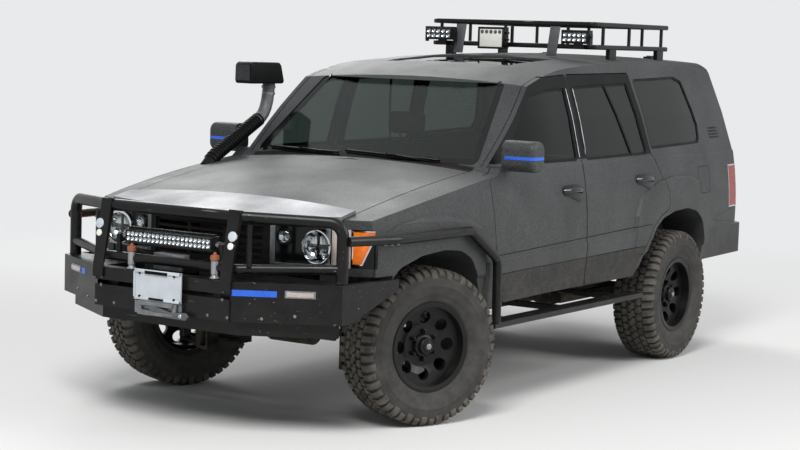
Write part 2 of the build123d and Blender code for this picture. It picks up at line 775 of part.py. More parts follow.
def forked_arm(hand, z, thickness, reach, half_base):
    """Flat forked arm from the frame out to the steering pivot."""
    with BuildPart() as arm:
        with BuildSketch(level(z)) as outline:
            with BuildLine():
                Polyline((hand * (arm_pivot + seam), -half_base), (hand * (arm_pivot + 40), -half_base),
                         (hand * (reach - 40), -34), (hand * reach, -26), (hand * reach, 26),
                         (hand * (reach - 40), 34), (hand * (arm_pivot + 40), half_base),
                         (hand * (arm_pivot + seam), half_base), close=True)
            make_face()
            with BuildLine():
                Polyline((hand * (arm_pivot - 30), -half_base + 42),
                         (hand * (arm_pivot + 40), -half_base + 42),
                         (hand * (reach - 118), -36), (hand * (reach - 118), 36),
                         (hand * (arm_pivot + 40), half_base - 42),
                         (hand * (arm_pivot - 30), half_base - 42), close=True)
            make_face(mode=Mode.SUBTRACT)
        extrude(amount=thickness)
        with BuildSketch(level(z)):
            with Locations((hand * reach, 0)):
                Circle(30)
        extrude(amount=thickness)
    return arm.part


with BuildPart() as front_suspension:
    for hand in (-1, 1):
        add(forked_arm(hand, lower_arm_z, 20, kingpin, 200))
        add(forked_arm(hand, upper_arm_z, 16, kingpin, 140))
        for end in (-1, 1):
            x0, x1 = sorted((hand * (arm_pivot + seam), hand * (arm_pivot + 14)))
            y0, y1 = sorted((end * 98, end * 200))
            add(box_between(x0, x1, y0, y1, lower_arm_z, upper_arm_z + 16))
        with BuildSketch(Plane(origin=place(hand * 528, -155, lower_arm_top - 10),
                               z_dir=(-hand * 30, 0, 500))):
            Circle(26)
        extrude(amount=520)
        x0, x1 = sorted((hand * (liner_face + seam), hand * 540))
        add(box_between(x0, x1, -200, -110, 780, 792))

with BuildPart() as front_differential:
    with BuildSketch(side(-135)):
        with Locations((0, tyre_radius)):
            Circle(85)
    extrude(amount=270)
    with BuildSketch(side(-kingpin + 95)):
        with Locations((0, tyre_radius)):
            Circle(20)
    extrude(amount=2 * (kingpin - 95))
    for hand in (-1, 1):
        with BuildSketch(side(hand * 170)):
            with Locations((0, tyre_radius)):
                Circle(45)
        extrude(amount=hand * 90)
        with BuildSketch(side(hand * (kingpin - 175))):
            with Locations((0, tyre_radius)):
                Circle(42)
        extrude(amount=hand * 78)
    with BuildSketch(front(-150)):
        with Locations((0, tyre_radius)):
            Rectangle(740 - 2 * seam, 40)
    extrude(amount=-24)
    add(box_between(-60, 60, -130, -60, tyre_radius - 20, tyre_radius + 20))
    for hand in (-1, 1):
        x0, x1 = sorted((hand * (rail_inner - seam), hand * (rail_inner - 14)))
        add(box_between(x0, x1, -150, -126, tyre_radius - 20, rail_bottom + 40))


# Wheels, made about the steering pivot or the axle
def wheel_plane(hand, station, pivot, offset, steer):
    """Plane through a wheel's axle: first axis outwards along the axle, second upwards."""
    turn = radians(steer)
    out = (hand * cos(turn), -hand * sin(turn))
    return Plane(origin=place(hand * pivot + out[0] * offset, station + out[1] * offset, tyre_radius),
                 x_dir=(out[0], out[1], 0), z_dir=(out[1], -out[0], 0))


def wheel_axis(plane):
    """Axle of a wheel plane."""
    return Axis(plane.origin, plane.x_dir)


def lug_band(low, high, lead):
    """Ring of lugs between two places along the axle, turned on by a share of the pitch."""
    root = tyre_radius - lug_depth - 3
    reach = 0.68 * pi / lug_pitches
    corners = [(root, -reach), (tyre_radius, -reach), (tyre_radius, reach), (root, reach)]
    with BuildPart() as band:
        with BuildSketch(Plane.YZ.offset(low)):
            for number in range(lug_pitches):
                turn = 2 * pi * (number + lead) / lug_pitches
                with BuildLine():
                    Polyline(*[(r * cos(turn + aside), r * sin(turn + aside))
                               for r, aside in corners], close=True)
                make_face()
        extrude(amount=high - low)
    return band.part


def tyre_form():
    """Hollow tyre about the X axis with two staggered rings of lugs."""
    half = tyre_width / 2
    bead = rim_radius + 1
    foot = tyre_radius - lug_depth
    outer = [(107.5, bead), (107.5, bead + 20), (half, bead + 92), (half - 13, foot)]
    inner = [(-92, bead), (26 - half, foot - 24), (half - 26, foot - 24), (92, bead)]
    with BuildPart() as tyre:
        with BuildSketch(Plane.XY):
            with BuildLine():
                Polyline(*outer, *[(-x, r) for x, r in reversed(outer)], *inner, close=True)
            make_face()
        revolve(axis=Axis.X)
        add(lug_band(16, half - 14, 0))
        add(lug_band(14 - half, -16, 0.5))
    return tyre.part


tyre_pattern = tyre_form()


def rim_solid(plane):
    """Alloy wheel with a dropped centre, a dished disc and eight round holes."""
    seat = rim_radius + 0.7
    lip = rim_lip_radius
    edge = rim_width / 2
    with BuildPart() as rim:
        with BuildSketch(plane):
            with BuildLine():
                Polyline((-edge - 7, lip), (-edge - 0.5, lip), (-edge, seat), (-92, seat), (-80, 196),
                         (16, 196), (36, seat), (edge, seat), (edge + 0.5, lip), (edge + 7, lip),
                         (edge + 7, lip - 9), (edge + 4, seat - 9), (62, 206), (54, 150), (38, 112),
                         (38, hub_bore), (10, hub_bore), (10, 100), (28, 146), (34, 187),
                         (-78, 187), (-94, 206), (-edge - 4, seat - 9), (-edge - 7, lip - 9),
                         close=True)
            make_face()
        revolve(axis=wheel_axis(plane))
        face = Plane(origin=plane.origin + plane.x_dir * 5, x_dir=plane.y_dir, z_dir=plane.x_dir)
        with BuildSketch(face):
            with PolarLocations(148, 8):
                Circle(33)
        extrude(amount=80, mode=Mode.SUBTRACT)
    return rim.part


def knuckle_solid(hand):
    """Hub carrier: column between the ball seats, drum and spindle, steered as parked."""
    plane = wheel_plane(hand, 0, kingpin, 0, parked_steer)
    face = Plane(origin=plane.origin - plane.x_dir * 46, x_dir=plane.y_dir, z_dir=plane.x_dir)
    with BuildPart() as knuckle:
        with BuildSketch(face):
            Circle(78)
        extrude(amount=100)
        with BuildSketch(Plane(origin=plane.origin, x_dir=plane.y_dir, z_dir=plane.x_dir)):
            Circle(hub_bore - running_gap)
        extrude(amount=kingpin_offset + 36)
        for z0, z1 in ((lower_arm_top + 0.5, tyre_radius), (tyre_radius, upper_arm_z - 0.5)):
            with BuildSketch(Plane(origin=(plane.origin.X, plane.origin.Y, z0),
                                   x_dir=plane.x_dir, z_dir=(0, 0, 1))):
                RectangleRounded(48, 56, 8)
            extrude(amount=z1 - z0)
    return knuckle.part


with BuildPart() as knuckle_left:
    add(knuckle_solid(1))
with BuildPart() as knuckle_right:
    add(knuckle_solid(-1))

front_left = wheel_plane(1, 0, kingpin, kingpin_offset, parked_steer)
front_right = wheel_plane(-1, 0, kingpin, kingpin_offset, parked_steer)
rear_left = wheel_plane(1, rear_axle, wheel_centre, 0, 0)
rear_right = wheel_plane(-1, rear_axle, wheel_centre, 0, 0)

with BuildPart() as tyre_front_left:
    add(tyre_pattern.moved(front_left.location))
with BuildPart() as tyre_front_right:
    add(tyre_pattern.moved(front_right.location))
with BuildPart() as tyre_rear_left:
    add(tyre_pattern.moved(rear_left.location))
with BuildPart() as tyre_rear_right:
    add(tyre_pattern.moved(rear_right.location))
with BuildPart() as rim_front_left:
    add(rim_solid(front_left))
with BuildPart() as rim_front_right:
    add(rim_solid(front_right))
with BuildPart() as rim_rear_left:
    add(rim_solid(rear_left))
with BuildPart() as rim_rear_right:
    add(rim_solid(rear_right))

# Bull bar: steel wings and centre channels, with hoops and straps above
bar_plan = [(425, -1112), (898, -845), (940, -415), (908, -415), (862, -750), (425, -750)]

with BuildPart() as bull_bar:
    for hand in (-1, 1):
        with BuildSketch(level(bar_bottom)) as wing_plan:
            with BuildLine():
                Polyline(*[(hand * x, y) for x, y in bar_plan], close=True)
            make_face()
        extrude(amount=bar_top - bar_bottom)
        with BuildSketch(level(bar_bottom + 6)) as wing_core:
            add(wing_plan.sketch.moved(Location((0, -shift, 0))))
            offset(amount=-6)
        extrude(amount=bar_top - bar_bottom - 12, mode=Mode.SUBTRACT)
        x0, x1 = sorted((hand * 445, hand * 850))
        add(box_between(x0, x1, -770, -740, bar_bottom + 20, bar_top - 20), mode=Mode.SUBTRACT)
        x0, x1 = sorted((hand * 300, hand * outside))
        with BuildSketch(side(x0)):
            with BuildLine():
                Polyline((-788, bar_bottom - 1), (-540, 695), (-300, 786), (-300, bar_bottom - 1),
                         close=True)
            make_face()
        extrude(amount=x1 - x0, mode=Mode.SUBTRACT)
        x0, x1 = sorted((hand * (arm_pivot + seam), hand * (arm_pivot + 12)))
        add(box_between(x0, x1, -755, -560, rail_bottom + 20, bar_bottom + 60))
    add(box_between(-430, 430, -1122, -1062, 732, bar_top))
    add(box_between(-430, 430, -1125, -1060, bar_bottom, 708))
    add(box_between(-424, 424, -1050, -760, bar_bottom, bar_bottom + 6))
    add(box_between(-424, 424, -1062, -1049, bar_bottom, bar_top))
    add(box_between(-330, 330, -1063, -1040, 640, 726), mode=Mode.SUBTRACT)
    with BuildSketch(level(530)):
        with BuildLine():
            Polyline((-431, -1062), (431, -1062), (850, -812), (840, -780), (425, -1010),
                     (-425, -1010), (-840, -780), (-850, -812), close=True)
        make_face()
    extrude(amount=bar_bottom - 530 + 4)

leg_foot = (862, -802, bar_top + seam)
leg_top = (862, -802, 1092)
top_corner = (398, -1045, 1106)
low_outer = (862, -802, 868)
low_inner = (398, -1072, 852)
low_tube = 24


def tube_along(points, bend, radius):
    """Round tube along straight runs joined by arcs."""
    with BuildPart() as tube:
        with BuildLine() as route:
            FilletPolyline(*[place(*point) for point in points], radius=bend)
        with BuildSketch(Plane(origin=route.line @ 0, z_dir=route.line % 0)):
            Circle(radius)
        sweep()
    return tube.part


def mirrored_run(points):
    """Points of one side followed by those of the other."""
    return list(points) + [(-x, y, z) for x, y, z in reversed(points)]


with BuildPart() as bull_bar_hoops:
    add(tube_along(mirrored_run([leg_foot, leg_top, top_corner]), 70, bar_tube))
    add(tube_along(mirrored_run([low_outer, low_inner]), 120, low_tube))
    for hand in (-1, 1):
        with BuildSketch(side(hand * 407 - 33)):
            with BuildLine():
                Polyline((-1133, bar_top - 50), (-1125.3, bar_top - 50), (-1125.3, bar_top + 2),
                         (-1040, 1136), (-1072, 1140), (-1133, bar_top + 2), close=True)
            make_face()
        extrude(amount=66)

with BuildPart() as light_bar:
    add(box_between(-283, 283, -1070, -1022, 924, 996))
    for hand in (-1, 1):
        x0, x1 = sorted((hand * 283, hand * 345))
        add(box_between(x0, x1, -1052, -1038, 940, 970))
        with BuildSketch(level(low_inner[2] + low_tube + seam)):
            with Locations((hand * 330, -1060)):
                Circle(14)
        extrude(amount=90)

with BuildPart() as winch:
    with BuildSketch(side(-120)):
        with Locations((-930, 690)):
            Circle(38)
    extrude(amount=240)
    for hand in (-1, 1):
        with BuildSketch(side(hand * 120)):
            with Locations((-930, 690)):
                Circle(62)
        extrude(amount=hand * 150)
        x0, x1 = sorted((hand * 140, hand * 200))
        add(box_between(x0, x1, -980, -880, bar_bottom + 6 + seam, 660))

fairlead_front = -front_reach

with BuildPart() as fairlead:
    add(box_between(-150, 150, -1142, -1125 - seam, 593, 655))
    for hand in (-1, 1):
        with BuildSketch(level(590)):
            with Locations((hand * 110, -1146)):
                Circle(15)
        extrude(amount=68)
    for z in (602, 646):
        with BuildSketch(side(-110)):
            with Locations((fairlead_front + 15, z)):
                Circle(15)
        extrude(amount=220)

with BuildPart() as number_plate:
    add(box_between(-152.5, 152.5, -1150, -1146, 661, 813))
    add(box_between(-120, 120, -1146, -1125 - seam, 672, 700))

# Side steps with the rails that run along the wings to the bull bar
step_start = 452
step_end = rear_axle - 615
step_bottom = step_top - step_thickness

with BuildPart() as side_step_left:
    add(box_between(885, step_outer, step_start, step_end, step_bottom, step_top))
    fillet(side_step_left.edges().filter_by(Axis.Y), radius=9)
    for station in (700, 1350, 2050):
        add(box_between(arm_pivot + seam, 895, station - 30, station + 30, step_bottom, step_top - 2))
        add(box_between(arm_pivot + seam, arm_pivot + 12, station - 30, station + 30,
                        step_bottom, rail_top - 30))

with BuildPart() as side_rail_left:
    add(tube_along([(890, -800, 1006), (960, -465, 998), (988, 183, 1003), (988, 470, 830),
                    (988, 478, step_top + 1)], 80, rail_tube))
    with BuildSketch(Plane(origin=place(*leg_foot))):
        Circle(bar_tube + seam)
    extrude(amount=leg_top[2] - leg_foot[2], mode=Mode.SUBTRACT)

# Rear bumper with its hitch
bumper_rear = rear_axle + rear_reach
bumper_plan = [(0, bumper_rear), (815, bumper_rear), (866, bumper_rear - 55),
               (905, rear_axle + 470), (842, rear_axle + 470), (800, rear_axle + 1075),
               (0, rear_axle + 1075)]

with BuildPart() as rear_bumper:
    with BuildSketch(level(bumper_bottom)):
        with BuildLine():
            Polyline(*bumper_plan, close=True)
        make_face()
    extrude(amount=bumper_top - bumper_bottom)
    mirror(about=Plane.YZ)
    for hand in (-1, 1):
        x0, x1 = sorted((hand * (arm_pivot + seam), hand * (arm_pivot + 12)))
        add(box_between(x0, x1, rail_end - 110, rear_axle + 1080, rail_bottom + 20, floor_height - 6))

receiver = 76
receiver_bore = 51

with BuildPart() as hitch:
    add(box_between(-receiver / 2, receiver / 2, rail_end - 4, bumper_rear - 6,
                    bumper_bottom - seam - receiver, bumper_bottom - seam))
    add(box_between(-receiver_bore / 2, receiver_bore / 2, rail_end + 20, bumper_rear + 5,
                    bumper_bottom - seam - receiver / 2 - receiver_bore / 2,
                    bumper_bottom - seam - receiver / 2 + receiver_bore / 2), mode=Mode.SUBTRACT)
    with BuildSketch(side(-receiver)):
        with Locations((bumper_rear - 70, bumper_bottom - seam - receiver / 2)):
            Circle(8)
    extrude(amount=2 * receiver, mode=Mode.SUBTRACT)

# Roof rack and its lamps
rack_end = rack_front + rack_length
rack_low = rack_bottom + rack_tube
rack_high = rack_top - rack_tube


def ring_tube(z):
    """Rounded rectangular loop of tube at height z."""
    with BuildPart() as ring:
        with BuildSketch(level(z)) as loop:
            with Locations((0, (rack_front + rack_end) / 2)):
                RectangleRounded(2 * rack_half_width, rack_length, 60)
                RectangleRounded(2 * rack_half_width - 4 * rack_tube, rack_length - 4 * rack_tube,
                                 30, mode=Mode.SUBTRACT)
        extrude(amount=rack_tube, both=True)
        fillet(ring.edges().filter_by(Plane.XY), radius=rack_tube * 0.6)
    return ring.part


with BuildPart() as roof_rack:
    add(ring_tube(rack_low))
    add(ring_tube(rack_high))
    for hand in (-1, 1):
        for station in (rack_front + 120, rack_front + 480, rack_end - 120):
            with BuildSketch(level(rack_low)):
                with Locations((hand * (rack_half_width - rack_tube), station)):
                    Circle(11)
            extrude(amount=rack_high - rack_low)
        for station in (rack_front + 240, rack_end - 150):
            add(box_between(hand * (rack_half_width - 16) - 14, hand * (rack_half_width - 16) + 14,
                            station - 45, station + 45, 1800, rack_low))
    for station in (rack_front + rack_tube, rack_end - rack_tube):
        for x in (-400, 0, 400):
            with BuildSketch(level(rack_low)):
                with Locations((x, station)):
                    Circle(11)
            extrude(amount=rack_high - rack_low)
    for station in (rack_front + 170, rack_front + 350, rack_front + 530, rack_front + 710,
                    rack_front + 890):
        add(box_between(-rack_half_width + 10, rack_half_width - 10, station - 30, station + 30,
                        rack_low - 10, rack_low + 4))
    add(outer_form.part.moved(Location((0, 0, seam))), mode=Mode.SUBTRACT)

with BuildPart() as work_lights:
    for x0, x1, z0, z1 in ((-590, -384, 1988, 2072), (404, 596, 1988, 2072), (-190, 0, 1940, 2078)):
        add(box_between(x0, x1, rack_front - 80, rack_front - 30, z0, z1))
        add(box_between((x0 + x1) / 2 - 30, (x0 + x1) / 2 + 30, rack_front - 40,
                        rack_front - seam, rack_low - 12, rack_low + 12))
        add(box_between((x0 + x1) / 2 - 30, (x0 + x1) / 2 + 30, rack_front - 40,
                        rack_front - 28, rack_low - 12, 2000))

# Raised air intake on the right
with BuildPart() as snorkel:
    add(tube_along([(-852, 236, 1190), (-850, 330, 1275), (-836, 770, 1503), (-836, 818, 1600),
                    (-836, 828, 1700)], 45, 36))
    with BuildSketch(level(1694)) as head_low:
        with Locations((-836, 735)):
            RectangleRounded(120, 330, 30)
    with BuildSketch(level(1825)) as head_high:
        with Locations((-836, 715)):
            RectangleRounded(128, 290, 30)
    loft([head_low.sketch, head_high.sketch])
    add(outer_form.part.moved(Location((0, 0, seam))), mode=Mode.SUBTRACT)

# Cabin fittings
driver_x = 385
column_tilt = 24
wheel_hub = (driver_x, 1010, 1095)
dash_front = hood_rear + 50 + seam

with BuildPart() as dashboard:
    with BuildSketch(side(-735)):
        with BuildLine():
            Polyline((dash_front, 900), (dash_front, 1190), (760, 1240), (880, 1200), (910, 1130),
                     (850, 970), (760, 890), close=True)
        make_face()
    extrude(amount=1470)
    fillet(dashboard.edges().filter_by(Axis.X).sort_by(Axis.Y)[-3:], radius=25)
    with BuildSketch(front(740)):
        with Locations((driver_x, 1215)):
            Ellipse(190, 75)
    extrude(amount=-150)
    add(box_between(-130, 130, 700, 900, floor_height + 112, 960))
    add(box_between(-120, 120, 880, 1560, floor_height + 112, 860))

column = Vector(0, cos(radians(column_tilt)), sin(radians(column_tilt)))
hub_point = Vector(*place(*wheel_hub))

with BuildPart() as steering_column:
    with BuildSketch(Plane(origin=hub_point - column * 30, z_dir=-column)):
        Circle(26)
    extrude(amount=190)
    add(dashboard.part, mode=Mode.SUBTRACT)

with BuildPart() as steering_wheel:
    hub_plane = Plane(origin=hub_point, x_dir=(1, 0, 0), z_dir=column)
    with BuildSketch(Plane(origin=hub_point, x_dir=(1, 0, 0), z_dir=hub_plane.y_dir)):
        with Locations((185, 0)):
            Circle(15)
    revolve(axis=Axis(hub_point, column))
    with BuildSketch(hub_plane):
        Circle(62)
        Rectangle(350, 34)
        with Locations((0, -90)):
            Rectangle(44, 180)
    extrude(amount=12, both=True)
    with BuildSketch(hub_plane.offset(-29)):
        Circle(24)
    extrude(amount=30)


def seat_solid(x, station, half_width, base):
    """Cushion and raked back of one seat, standing on its base."""
    with BuildPart() as seat:
        with BuildSketch(side(x - half_width)):
            with BuildLine():
                Polyline((station - 330, base + 40), (station - 330, base + 200),
                         (station - 250, base + 235), (station + 160, base + 200),
                         (station + 340, base + 760), (station + 440, base + 745),
                         (station + 290, base + 90), (station + 240, base + 40), close=True)
            make_face()
        extrude(amount=2 * half_width)
        fillet(seat.edges().filter_by(Axis.X), radius=22)
        for leg in (station - 260, station + 150):
            add(box_between(x - half_width + 40, x + half_width - 40, leg - 30, leg + 30,
                            base, base + 60))
    return seat.part


with BuildPart() as front_seats:
    for hand in (-1, 1):
        add(seat_solid(hand * 410, 1290, 235, floor_height + seam))
        with BuildSketch(front(1610)):
            with Locations((hand * 410, floor_height + 835)):
                RectangleRounded(250, 170, 50)
        extrude(amount=-90)

with BuildPart() as rear_bench:
    add(seat_solid(0, 1990, 640, floor_height + seam))
    with BuildSketch(front(2330)):
        for x in (-420, 0, 420):
            with Locations((x, floor_height + 820)):
                RectangleRounded(240, 140, 45)
    extrude(amount=-80)
    add(box_between(-650, 650, floor_step - 6, floor_step + 200, 600, load_floor_height + seam),
        mode=Mode.SUBTRACT)
    add(box_between(-191, 191, 1500, floor_step, 600, floor_height + 112), mode=Mode.SUBTRACT)

# Door mirror, part of the front door
mirror_inner = 912

with BuildPart() as front_door_assembly_left:
    add(front_door_left.part)
    with BuildSketch(side(mirror_inner)):
        with Locations((670, 1374)):
            RectangleRounded(136, 168, 50)
    extrude(amount=mirror_reach - mirror_inner)
    fillet(front_door_assembly_left.faces().sort_by(Axis.X)[-1].edges(), radius=28)
    with BuildSketch(side(800)):
        with Locations((655, 1306)):
            RectangleRounded(70, 30, 10)
    extrude(amount=mirror_inner + 20 - 800)
    add(door_back.part, mode=Mode.SUBTRACT)
    add(side_prism(front_window), mode=Mode.SUBTRACT)

# Exhaust, fuel tank, spare wheel, rear springs and links
with BuildPart() as exhaust:
    add(tube_along([(-180, 500, 470), (-215, 1100, 465), (-300, 1600, 465), (-302, 2250, 465)],
                   150, 30))
    add(box_between(-350, -220, 1750, 2200, 415, 495))
    add(box_between(-309, -291, 1900, 1960, 494, floor_height - floor_thickness - seam))

with BuildPart() as fuel_tank:
    add(box_between(110, 350, 1300, 2150, 385, 514))
    fillet(fuel_tank.edges(), radius=25)
    for station in (1450, 2000):
        add(box_between(200, 260, station - 25, station + 25, 500,
                        floor_height - floor_thickness - seam))

spare_low = rail_top - 18
spare_station = rear_axle + 640

with BuildPart() as spare_wheel:
    with BuildSketch(level(spare_low)):
        with Locations((0, spare_station)):
            Circle(310)
            Circle(150, mode=Mode.SUBTRACT)
    extrude(amount=load_floor_height - floor_thickness - 6 - spare_low)
    with BuildSketch(level(spare_low + 60)):
        with Locations((0, spare_station)):
            Circle(160)
    extrude(amount=30)
    with BuildSketch(level(spare_low + 80)):
        with Locations((0, spare_station)):
            Circle(20)
    extrude(amount=load_floor_height - floor_thickness - spare_low - 80 - seam)

with BuildPart() as rear_suspension:
    for hand in (-1, 1):
        with BuildSketch(level(tyre_radius + axle_tube + 10)):
            with Locations((hand * 290, rear_axle)):
                Circle(62)
        extrude(amount=load_floor_height - floor_thickness - seam - tyre_radius - axle_tube - 10)
        with BuildSketch(level(tyre_radius + axle_tube + seam)):
            with Locations((hand * 290, rear_axle)):
                Circle(40)
        extrude(amount=12)
        x0, x1 = sorted((hand * 470, hand * 510))
        add(box_between(x0, x1, rear_axle - 760, rear_axle - axle_tube - seam,
                        tyre_radius - 25, tyre_radius + 25))
        x0, x1 = sorted((hand * (arm_pivot + seam), hand * 511))
        add(box_between(x0, x1, rear_axle - 760, rear_axle - 710, tyre_radius - 25,
                        rail_bottom + 70))

with BuildPart() as sunroof_glass:
    add(box_between(-429.7, 429.7, 1480.3, 2019.7, 1500, 2100))
    add(outer_form.part.moved(Location((0, 0, -glass_inset))), mode=Mode.INTERSECT)
    add(outer_form.part.moved(Location((0, 0, -glass_inset - glass_thickness))),
        mode=Mode.SUBTRACT)


def both_sides(part, name):
    """Write the left piece and its mirror image."""
    with BuildPart() as left:
        add(part)
    with BuildPart() as right:
        mirror(part, about=Plane.YZ)
    save(left, name + "_left")
    save(right, name + "_right")


def pair_of(*parts):
    """Left pieces with their mirror images, as one node."""
    with BuildPart() as pair:
        for part in parts:
            add(part)
            mirror(part, about=Plane.YZ)
    return pair


both_sides(front_door_assembly_left.part, "front_door")
both_sides(rear_door_left.part, "rear_door")
both_sides(front_glass_left.part, "front_door_glass")
both_sides(rear_glass_left.part, "rear_door_glass")
both_sides(body_side_left.part, "body_side")
save(pair_of(wing_left.part), "wings")
save(pair_of(headlamp_left.part), "headlamps")
save(pair_of(lamp_lens_left.part), "headlamp_lenses")
save(pair_of(tail_lamp_left.part), "tail_lamps")
save(pair_of(side_step_left.part), "side_steps")
save(pair_of(side_rail_left.part), "side_rails")

with BuildPart() as fixed_glass:
    add(windscreen.part)
    add(quarter_glass_left.part)
    mirror(quarter_glass_left.part, about=Plane.YZ)
    add(sunroof_glass.part)

with BuildPart() as floor_and_bulkhead:
    add(floor_pan.part)
    add(bulkhead.part)
    add(tail_panel.part)

with BuildPart() as dash_and_column:
    add(dashboard.part)
    add(steering_column.part)

with BuildPart() as seats:
    add(front_seats.part)
    add(rear_bench.part)

with BuildPart() as winch_and_fairlead:
    add(winch.part)
    add(fairlead.part)

with BuildPart() as lamp_rows:
    add(light_bar.part)
    add(work_lights.part)

save(fixed_glass, "fixed_glass")
save(floor_and_bulkhead, "floor_and_bulkhead")
save(roof_panel, "roof_panel")
save(liftgate, "liftgate")
save(gate_glass, "liftgate_glass")
save(tailgate, "tailgate")
save(hood, "hood")
save(hood_protector, "hood_protector")
save(front_panel, "front_panel")
save(grille, "grille")
save(ladder_frame, "ladder_frame")
save(powertrain, "powertrain")
save(rear_axle_beam, "rear_axle")
save(rear_suspension, "rear_suspension")
save(front_suspension, "front_suspension")
save(front_differential, "front_differential")
save(knuckle_left, "knuckle_left")
save(knuckle_right, "knuckle_right")
save(tyre_front_left, "tyre_front_left")
save(tyre_front_right, "tyre_front_right")
save(tyre_rear_left, "tyre_rear_left")
save(tyre_rear_right, "tyre_rear_right")
save(rim_front_left, "rim_front_left")
save(rim_front_right, "rim_front_right")
save(rim_rear_left, "rim_rear_left")
save(rim_rear_right, "rim_rear_right")
save(bull_bar, "bull_bar")
save(bull_bar_hoops, "bull_bar_hoops")
save(winch_and_fairlead, "winch")
save(number_plate, "number_plate")
save(rear_bumper, "rear_bumper")
save(hitch, "hitch")
save(roof_rack, "roof_rack")
save(lamp_rows, "work_lights")
save(snorkel, "snorkel")
save(dash_and_column, "dashboard")
save(steering_wheel, "steering_wheel")
save(seats, "seats")
save(exhaust, "exhaust")
save(fuel_tank, "fuel_tank")
save(spare_wheel, "spare_wheel")
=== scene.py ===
"""Dresses the lifted off-road wagon with finishes, tread, lamps, glass, trim and cabin fittings.

Places are given in millimetres as x, station and height. x runs to the vehicle's left, stations
run rearwards from the front axle and heights start at the ground. Sizes are in millimetres too.
"""

import logging
import math
from dataclasses import dataclass
from enum import Enum
from typing import Callable, Iterable, Sequence

import bmesh
import bpy
from mathutils import Matrix, Vector
from mathutils.bvhtree import BVHTree


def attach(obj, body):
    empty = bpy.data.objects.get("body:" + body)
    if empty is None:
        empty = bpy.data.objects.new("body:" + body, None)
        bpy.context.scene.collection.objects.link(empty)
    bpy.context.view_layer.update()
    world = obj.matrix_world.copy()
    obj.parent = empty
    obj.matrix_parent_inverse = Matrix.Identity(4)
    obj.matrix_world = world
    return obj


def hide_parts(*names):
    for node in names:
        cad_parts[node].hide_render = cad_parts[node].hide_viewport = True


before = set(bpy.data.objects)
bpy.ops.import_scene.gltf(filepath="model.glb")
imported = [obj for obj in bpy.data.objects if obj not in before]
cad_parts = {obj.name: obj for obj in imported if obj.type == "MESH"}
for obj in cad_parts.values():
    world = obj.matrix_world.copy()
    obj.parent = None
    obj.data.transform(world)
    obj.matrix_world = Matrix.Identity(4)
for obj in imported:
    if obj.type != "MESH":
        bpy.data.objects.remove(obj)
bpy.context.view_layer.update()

# From a station to the frame's second axis
SHIFT = -1437.0
# Pale grey of the background
PALE = "e9eaeb"
# Radius at which a turned profile closes on its axis
TIP = 0.1
# Distance from the centre plane at which rays towards the sides start
OUTSIDE = 1300.0
SIDES = ((1, "left"), (-1, "right"))
DOORS = ("front_door_", "rear_door_")
REARWARDS = Vector((0, 1, 0))
log = logging.getLogger("wagon")

Pair = tuple[float, float]
Profile = Sequence[Pair]
Tree = bpy.types.NodeTree
Socket = bpy.types.NodeSocket


def mm(x: float, y: float, z: float) -> Vector:
    """Vector in metres, of lengths in millimetres."""
    return Vector((x, y, z)) / 1000.0


def at(x: float, station: float, height: float) -> Vector:
    """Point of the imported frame, in metres, for x, station and height in millimetres."""
    return mm(x, station + SHIFT, height)


def beside(hand: int, station: float, height: float) -> tuple[Vector, Vector]:
    """Start and aim of a level ray that meets one side of the vehicle from outside."""
    return at(hand * OUTSIDE, station, height), Vector((-hand, 0, 0))


def mirrored(hand: int, low: float, high: float) -> Pair:
    """Range of x on one side of the vehicle, from that on its left."""
    return (low, high) if hand > 0 else (-high, -low)


def evenly(start: Pair, end: Pair, count: int) -> list[list[float]]:
    """Pairs at even steps from the start to the end, both included."""
    return [[a + step / count * (b - a) for a, b in zip(start, end)] for step in range(count + 1)]


def forwards(point: Vector) -> Matrix:
    """Axes at a point, with X forwards."""
    return Matrix.Translation(point) @ Matrix.Rotation(-math.pi / 2, 4, "Z")


def upwards(point: Vector) -> Matrix:
    """Axes at a point, with X upwards."""
    return Matrix.Translation(point) @ Matrix.Rotation(-math.pi / 2, 4, "Y")


def place(name: str, data: bpy.types.ID) -> bpy.types.Object:
    """Puts a new object with these data into the scene.

    Args:
        name: Name of the object.
        data: Its mesh, camera or lamp.

    Returns:
        The object.
    """
    made = bpy.data.objects.new(name, data)
    bpy.context.scene.collection.objects.link(made)
    return made


def linear(code: str) -> tuple[float, float, float, float]:
    """Linear colour of an sRGB hex code.

    Args:
        code: Six hex digits.

    Returns:
        Red, green, blue and alpha for a shader socket.
    """
    parts = []
    for start in (0, 2, 4):
        value = int(code[start:start + 2], 16) / 255.0
        parts.append(value / 12.92 if value <= 0.04045 else ((value + 0.055) / 1.055) ** 2.4)
    return parts[0], parts[1], parts[2], 1.0


def empty_tree(owner: bpy.types.Material | bpy.types.World) -> Tree:
    """Empties the node tree of a material or world.

    Args:
        owner: The material or world.

    Returns:
        Its node tree.
    """
    owner.use_nodes = True
    owner.node_tree.nodes.clear()
    return owner.node_tree


def node(tree: Tree, kind: str, settings: dict | None = None, output: int | str = 0) -> Socket:
    """Adds a node.

    Args:
        tree: Node tree.
        kind: Node type, after the word ShaderNode.
        settings: Values by input socket, and by property where the key is in lower case. A
            socket as the value is linked to the input.
        output: Which output is wanted.

    Returns:
        That output socket.
    """
    made = tree.nodes.new("ShaderNode" + kind)
    for key, value in (settings or {}).items():
        if isinstance(value, Socket):
            tree.links.new(value, made.inputs[key])
        elif isinstance(key, str) and key.islower():
            setattr(made, key, value)
        else:
            made.inputs[key].default_value = value
    return made.outputs[output]


def close(tree: Tree, kind: str, shader: Socket) -> None:
    """Links a shader to a new output node for a Material or World."""
    tree.links.new(shader, tree.nodes.new("ShaderNodeOutput" + kind).inputs["Surface"])


def maths(tree: Tree, operation: str, first: Socket, second: Socket | float) -> Socket:
    """Result of an operation on a socket and on a second socket or number."""
    return node(tree, "Math", {"operation": operation, 0: first, 1: second})


